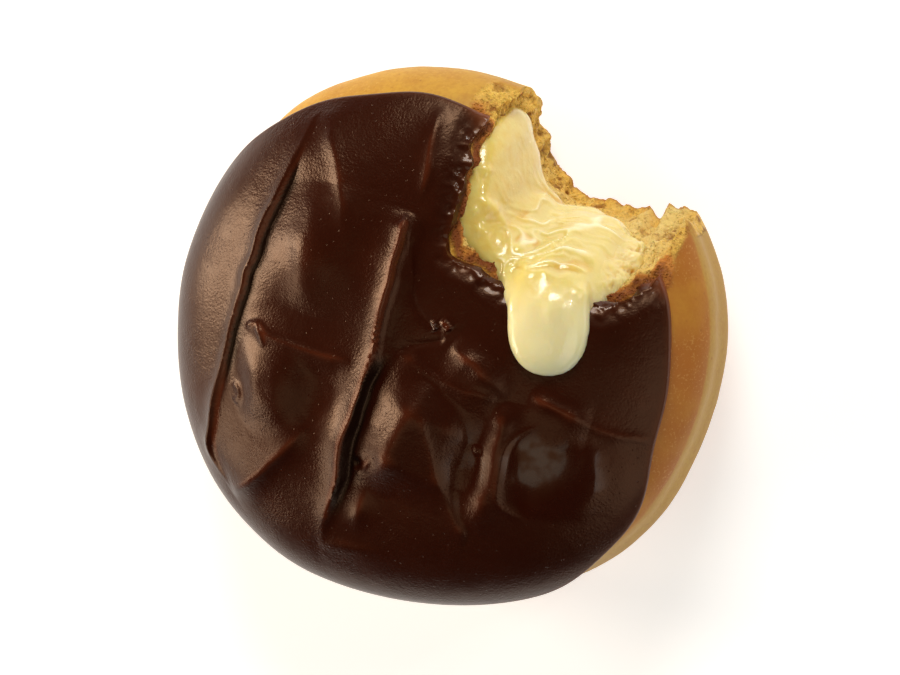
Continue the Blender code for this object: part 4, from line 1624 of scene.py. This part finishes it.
    def flow(self, points: Points) -> tuple[Numbers, Numbers]:
        """Ridges drawn out along the flow, and the hollows between them.

        The ridges are 1 - |noise|, from noise stretched along the bite's arc, once broad and
        once fine. Its coordinates are first shifted by other noise so that the ridges wander.

        Args:
            points: The custard's vertices.

        Returns:
            The ridges and the hollows, each from 0 to 1.
        """
        angle, distance = self.bite.polar(points)
        turn = whole_turn(angle)
        drift = sum(Grain.soft(points, cell, seed) * size for cell, size, seed in self.drifts)
        arc = np.radians(turn) * self.arc_radius
        slant = points[:, 2] + 0.5 * arc + drift
        streak = np.stack([arc / 3.0 + drift, slant, distance * 0.5], axis=-1)
        broad = np.clip(1.0 - np.abs(Grain.soft(streak, self.ridge_cells[0], 53)) * 2.6, 0.0, 1.0)
        fine = np.clip(1.0 - np.abs(Grain.soft(streak, self.ridge_cells[1], 56)) * 2.8, 0.0, 1.0)
        busy = ease(*self.busy_runs[0], turn) * ease(*self.busy_runs[1], turn)
        patchy = ease(-0.3, 0.3, Grain.soft(points, 5.0 * MM, 54))
        sparse = ease(-0.1, 0.4, Grain.soft(points, 3.2 * MM, 57))
        ridge = np.maximum(broad * (0.2 + 0.8 * patchy), fine * 0.55 * sparse) * (0.25 + 0.75 * busy)
        hollow = ease(0.0, 0.6, Grain.soft(streak * [2.2, 1.0, 1.0], self.hollow_cell, 55))
        return ridge, hollow * (0.3 + 0.7 * busy)

    def lumpy(self, points: Points) -> Numbers:
        """Where the custard clings to lumps of crumb, at its eastern end.

        Args:
            points: The custard's vertices.

        Returns:
            0 where it is smooth and 1 where it is lumpy.
        """
        angle, _ = self.bite.polar(points)
        turn = whole_turn(angle) + 5.0 * Grain.soft(points, 3.0 * MM, 59)
        return ease(*self.lump_runs[0], turn) * ease(*self.lump_runs[1], points[:, 1])

    def melted(self) -> bpy.types.Object:
        """The pocket, the swell and the drip melted into one smooth skin.

        Returns:
            The closed object.
        """
        together = bmesh.new()
        for grid in (self.pocket(), self.bulge(), self.drip()):
            form = Mesher.closed_grid("custard form", grid)
            together.from_mesh(form.data)
            bpy.data.objects.remove(form)
        mesh = bpy.data.meshes.new("custard_flow")
        together.to_mesh(mesh)
        together.free()
        custard = in_scene("custard_flow", mesh)
        melt = custard.modifiers.new("melt", "REMESH")
        melt.mode = "VOXEL"
        melt.voxel_size = self.voxel
        soften = custard.modifiers.new("soften", "SMOOTH")
        soften.factor = self.soften_share
        soften.iterations = self.soften_times
        Mesher.settle(custard)
        Mesher.clean(custard)
        return custard

    def streams(self, points: Points) -> Numbers:
        """Relief of the custard running down to the drip's root: noise drawn out along the fall.

        Args:
            points: The custard's vertices.

        Returns:
            The height of the streams.
        """
        streams = Grain.soft(points / np.array(self.stream_stretch), self.stream_cell, 60)
        near, far, high = self.stream_runs
        root = ease(*near, points[:, 1]) * ease(*far, points[:, 1])
        return self.stream_height * streams * root * ease(*high, points[:, 2])

    def build(self) -> bpy.types.Object:
        """The melted skin drawn into flow ridges, lumps, swellings and streams, and its finish.

        The mark flow is 1 on the ridges, clear where the custard is thin and yellow, drip on the
        drip as painted light that grows towards its south end, lumpy among the crumbs, and pit in
        the hollows between those.

        Returns:
            The finished piece.
        """
        custard = self.melted()
        points, normals = Mesher.places(custard), Mesher.normals(custard)
        ridge, hollow = self.flow(points)
        on_wall = ease(*self.wall_run, points[:, 1])
        lumpy = self.lumpy(points)
        crumb = Grain.crumb(points)
        lumps = self.lump_height * (Grain.fractal(points, self.lump_cell, 3, 58) - crumb)
        lift = (self.ridge_height * ridge - self.hollow_depth * hollow) * on_wall * (1.0 - 0.7 * lumpy)
        lift = lift + lumps * lumpy + sum(welt.at(points) for welt in self.welts)
        lift = lift + self.streams(points)
        Mesher.move(custard, points + normals * lift[:, None])
        west = ease(*self.clear_run, whole_turn(self.bite.polar(points)[0]))
        clear = np.maximum(hollow, self.west_clear * west)
        # Painted light on the drip: 0.6 over its length, rising to 1 at its south end.
        painted_drip_end_light = 0.6 + 0.4 * ease(*self.painted_drip_end_light_run, points[:, 1])
        Mesher.mark(custard, "flow", ridge * on_wall)
        Mesher.mark(custard, "clear", clear * on_wall * (1.0 - lumpy))
        Mesher.mark(custard, "drip", ease(*self.painted_drip_light_run, points[:, 1]) * painted_drip_end_light)
        Mesher.mark(custard, "lumpy", lumpy)
        Mesher.mark(custard, "pit", crumb * lumpy)
        Mesher.smooth(custard, 180.0)
        custard.data.materials.append(CustardFinish().material())
        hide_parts("custard")
        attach(custard, BODY)
        return custard


@dataclass(frozen=True)
class Dough:
    """The bitten dough: the bun less the bite, with its crust and crumb marked."""

    bun: Bun
    bite: Bite
    icing: Icing
    custard: Custard
    crust_back: float = 0.4 * MM
    flakes: tuple[Bump, ...] = (Bump(154.0, 7.0, 3.2 * MM), Bump(301.0, 5.0, 1.5 * MM))
    slope: float = 0.3
    tear_low: float = 20.5 * MM
    sag: Bump = Bump(320.0, 38.0, 2.6 * MM)
    roughness: tuple[float, float] = (0.2 * MM, 0.35 * MM)
    torn_run: Run = (-0.5 * MM, 0.5 * MM)
    strip_run: Run = (-0.4 * MM, 0.3 * MM)
    skin_run: Run = (0.15 * MM, 0.55 * MM)
    wall_margin: float = 2.2 * MM
    band_runs: tuple[Run, Run] = ((6.7 * MM, 5.8 * MM), (-7.0 * MM, -4.0 * MM))
    base_run: Run = (-4.0 * MM, -16.0 * MM)
    # Where the painted shade browns the crust: towards the east along x, and above the waist line.
    east_shade_runs: tuple[Run, Run] = ((24.0 * MM, 36.0 * MM), (5.0 * MM, 7.0 * MM))
    under_icing_run: Run = (2.6 * MM, 0.4 * MM)
    top_run: Run = (3.4 * MM, 0.2 * MM)
    stain_runs: tuple[Run, Run, Run] = ((150.0, 164.0), (270.0, 285.0), (312.0, 302.0))
    soak_middle: float = 20.0 * MM
    soak_half: float = 13.0 * MM
    soak_runs: tuple[Run, Run] = ((1.4, 0.95), (190.0, 215.0))
    sharp: float = 60.0

    def build(self) -> bpy.types.Object:
        """Cuts the bite, marks crust and crumb, and gives the finish.

        Returns:
            The finished piece.
        """
        dough = self.bun.solid("dough_crust_and_crumb", self.torn)
        Mesher.cut(dough, self.bite.cutter("dough bite", self.bite.ragged))
        self.dress(dough)
        return dough

    def torn(self, points: Points) -> Numbers:
        """How deep the crust is torn beside the bite, under the icing's broken edge.

        Args:
            points: Points of the crust.

        Returns:
            The depth at each point.
        """
        past = self.past_crust(points)
        rough = self.roughness[0] + self.roughness[1] * Grain.fractal(points, 1.6 * MM, 2, 62)
        rough = rough + self.bite.pore * Grain.crumb(points)
        slope = self.slope * np.clip(past, 0.0, 5.0 * MM)
        return ease(*self.torn_run, past) * np.maximum(rough + slope, 0.0) * self.upper(points)

    def past_crust(self, points: Points) -> Numbers:
        """How far points lie past the line where the crust tore off with the icing.

        Args:
            points: Points of the dough.

        Returns:
            The distance, above 0 towards the bite.
        """
        angle, _ = self.bite.polar(points)
        flaked = self.crust_back + sum(part.at(angle) for part in self.flakes)
        return self.bite.depth(points, self.icing.set_back(points) + flaked)

    def upper(self, points: Points) -> Numbers:
        """1 on the upper half of the bun, where the crust tore, and 0 below."""
        return ease(self.tear_low, self.tear_low + 2.0 * MM, points[..., 2])

    def dress(self, dough: bpy.types.Object) -> None:
        """Marks the wall, the pale waist, the browning with painted shade on the east side, the soaked
        and the stained crumb, and the crumb's hollows for painted shade.

        Args:
            dough: The dough's object.
        """
        points = Mesher.places(dough)
        x, y, z = points.T
        around = np.arctan2(y, x)
        angle, _ = self.bite.polar(points)
        turn = whole_turn(angle)
        under = self.bun.buried(points)
        ragged = Grain.fractal(points, 2.4 * MM, 3, 61)
        at_wall = self.bite.depth(points, self.wall_margin) > 0.0
        strip = ease(*self.strip_run, self.past_crust(points) + ragged * 0.5 * MM)
        strip = strip * self.upper(points)
        wall = np.maximum(at_wall * ease(*self.skin_run, under), strip)
        line = self.bun.groove + self.bun.groove_tilt * np.sin(around)
        over = z - line + Grain.fractal(points, 12.0 * MM, 2, 60) * 0.6 * MM + self.sag.at(around)
        band = ease(*self.band_runs[0], over) * ease(*self.band_runs[1], over)
        brown = 0.35 + 0.35 * ease(*self.base_run, over)
        # Painted shade: the crust browns more on its east side, away from the key light.
        brown = brown + 0.3 * ease(*self.east_shade_runs[0], x) * ease(*self.east_shade_runs[1], over)
        back = self.bite.depth(points) + self.icing.set_back(points)
        icing_near = ease(*self.under_icing_run, back + ragged * 1.2 * MM)
        top = ease(*self.top_run, self.bun.top(x, y) - z + ragged * 1.6 * MM)
        start, fade, end = (ease(*run, turn) for run in self.stain_runs)
        stain = np.maximum(icing_near, 0.35) * top * start
        stain = stain * (1.0 - 0.15 * fade) * end
        along = np.abs(turn - self.custard.bulge_middle) / self.custard.bulge_half
        height = np.abs(z - self.soak_middle) / self.soak_half
        soak = ease(*self.soak_runs[0], np.maximum(along, height) + ragged * 0.22)
        soak = soak * ease(*self.soak_runs[1], turn)
        Mesher.mark(dough, "wall", wall)
        Mesher.mark(dough, "band", band * (1.0 - wall))
        Mesher.mark(dough, "brown", brown)
        Mesher.mark(dough, "stain", stain)
        Mesher.mark(dough, "soak", soak * (1.0 - stain))
        # The pit mark carries painted shade for the crumb's hollows.
        Mesher.mark(dough, "pit", Grain.crumb(points))
        Mesher.smooth(dough, self.sharp)
        dough.data.materials.append(DoughFinish().material())
        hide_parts("dough")
        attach(dough, BODY)


class Softbox(Enum):
    """The studio's lights: direction round and up in degrees, width, depth, brightness and tint.

    The brightness is what falls on a face turned to the light, so about 3 gives full white.
    """

    KEY = (171.0, 20.0, 0.20, 0.26, 2.45, (1.0, 0.86, 0.68))
    NORTH_EAST = (84.0, 34.0, 0.25, 0.20, 2.1, (1.0, 0.98, 0.94))
    STRIP = (28.0, 34.0, 0.014, 0.1, 0.16, (1.0, 1.0, 1.0))
    SECOND_STRIP = (35.0, 34.0, 0.014, 0.1, 0.16, (1.0, 1.0, 1.0))
    OVER = (262.0, 68.0, 0.34, 0.24, 0.21, (0.96, 1.0, 0.83))
    SOUTH_WEST = (204.0, 20.0, 0.26, 0.24, 1.05, (1.0, 0.86, 0.68))
    FILL = (325.0, 34.0, 0.50, 0.40, 0.9, (1.0, 0.96, 0.9))


@dataclass(frozen=True)
class Studio:
    """A pale floor, soft lights and the camera."""

    aim: tuple[float, float, float] = (0.0, 0.0, 17.0 * MM)
    tilt: tuple[float, float] = (18.0, 8.0)
    distance: float = 480.0 * MM
    pixels_per_mm: float = 6.3
    image_width: float = 900.0
    light_distance: float = 0.55
    sensor: float = 36.0
    nearest: float = 0.01
    floor_half: float = 1.5
    floor_tone: Colour = (0.85, 0.85, 0.85)
    floor_glow: float = 0.56
    world: float = 0.02

    @staticmethod
    def stand(
        name: str, data: bpy.types.ID, axes: Sequence[Numbers], place: Numbers
    ) -> bpy.types.Object:
        """Puts a camera or a light in the scene.

        Args:
            name: The object's name.
            data: Its camera or light.
            axes: Its right, its up and the way that points back from what it faces.
            place: Where it stands.

        Returns:
            The object.
        """
        made = in_scene(name, data)
        turn = Matrix([[axis[k] for axis in axes] for k in range(3)]).to_4x4()
        made.matrix_world = Matrix.Translation(place.tolist()) @ turn
        return made

    def camera(self) -> None:
        """Puts the camera over the doughnut, leaned right and away, its picture's up along +Y."""
        back = np.array([np.tan(np.radians(self.tilt[0])), np.tan(np.radians(self.tilt[1])), 1.0])
        back /= np.linalg.norm(back)
        up = np.array([0.0, 1.0, 0.0]) - back * back[1]
        up /= np.linalg.norm(up)
        right = np.cross(up, back)
        place = np.array(self.aim) + back * self.distance
        data = bpy.data.cameras.new("camera")
        data.sensor_fit = "HORIZONTAL"
        data.sensor_width = self.sensor
        data.lens = self.pixels_per_mm * self.distance / MM * data.sensor_width / self.image_width
        data.clip_start = self.nearest
        bpy.context.scene.camera = self.stand("camera", data, (right, up, back), place)

    def lights(self) -> None:
        """Hangs each softbox in its direction, facing the doughnut."""
        for box in Softbox:
            azimuth, elevation, width, depth, brightness, tint = box.value
            turn, rise = np.radians([azimuth, elevation])
            out = np.array([np.cos(turn) * np.cos(rise), np.sin(turn) * np.cos(rise), np.sin(rise)])
            side = np.array([-np.sin(turn), np.cos(turn), 0.0])
            data = bpy.data.lights.new(box.name.lower(), "AREA")
            data.shape = "ELLIPSE"
            data.size, data.size_y = width, depth
            data.energy = brightness * np.pi * self.light_distance**2
            data.color = tint
            place = np.array(self.aim) + out * self.light_distance
            self.stand(data.name, data, (side, np.cross(out, side), out), place)

    def floor(self) -> None:
        """A pale sheet under the doughnut that glows a little, like a light table."""
        half = self.floor_half
        corners = np.array([[-half, -half, 0], [half, -half, 0], [half, half, 0], [-half, half, 0]])
        sheet = Mesher.from_arrays("floor", corners, [(0, 1, 2, 3)])
        paint = Paint("pale floor")
        tone, glow = self.floor_tone, self.floor_glow
        sheet.data.materials.append(
            paint.finish(base_color=tone, roughness=0.9, emission_color=tone, emission_strength=glow)
        )

    def build(self) -> None:
        """Camera, lights, floor and the surrounding light."""
        self.camera()
        self.lights()
        self.floor()
        world = bpy.data.worlds.new("studio")
        world.use_nodes = True
        sky = world.node_tree.nodes["Background"].inputs
        sky["Color"].default_value = (1.0, 1.0, 1.0, 1.0)
        sky["Strength"].default_value = self.world
        bpy.context.scene.world = world
        bpy.context.scene.view_settings.view_transform = "Standard"


def main() -> None:
    """Builds the studio and the doughnut's pieces in order, and reports each."""
    logging.basicConfig(level=logging.INFO, format="%(name)s: %(message)s")
    Studio().build()
    bun, bite = Bun(), Bite()
    icing = Icing(bun, bite)
    custard = Custard(bun, bite, icing)
    dough = Dough(bun, bite, icing, custard)
    for maker in (dough, custard, icing):
        piece = maker.build()
        LOG.info("%s: %d faces", piece.name, len(piece.data.polygons))


if __name__ == "__main__":
    main()
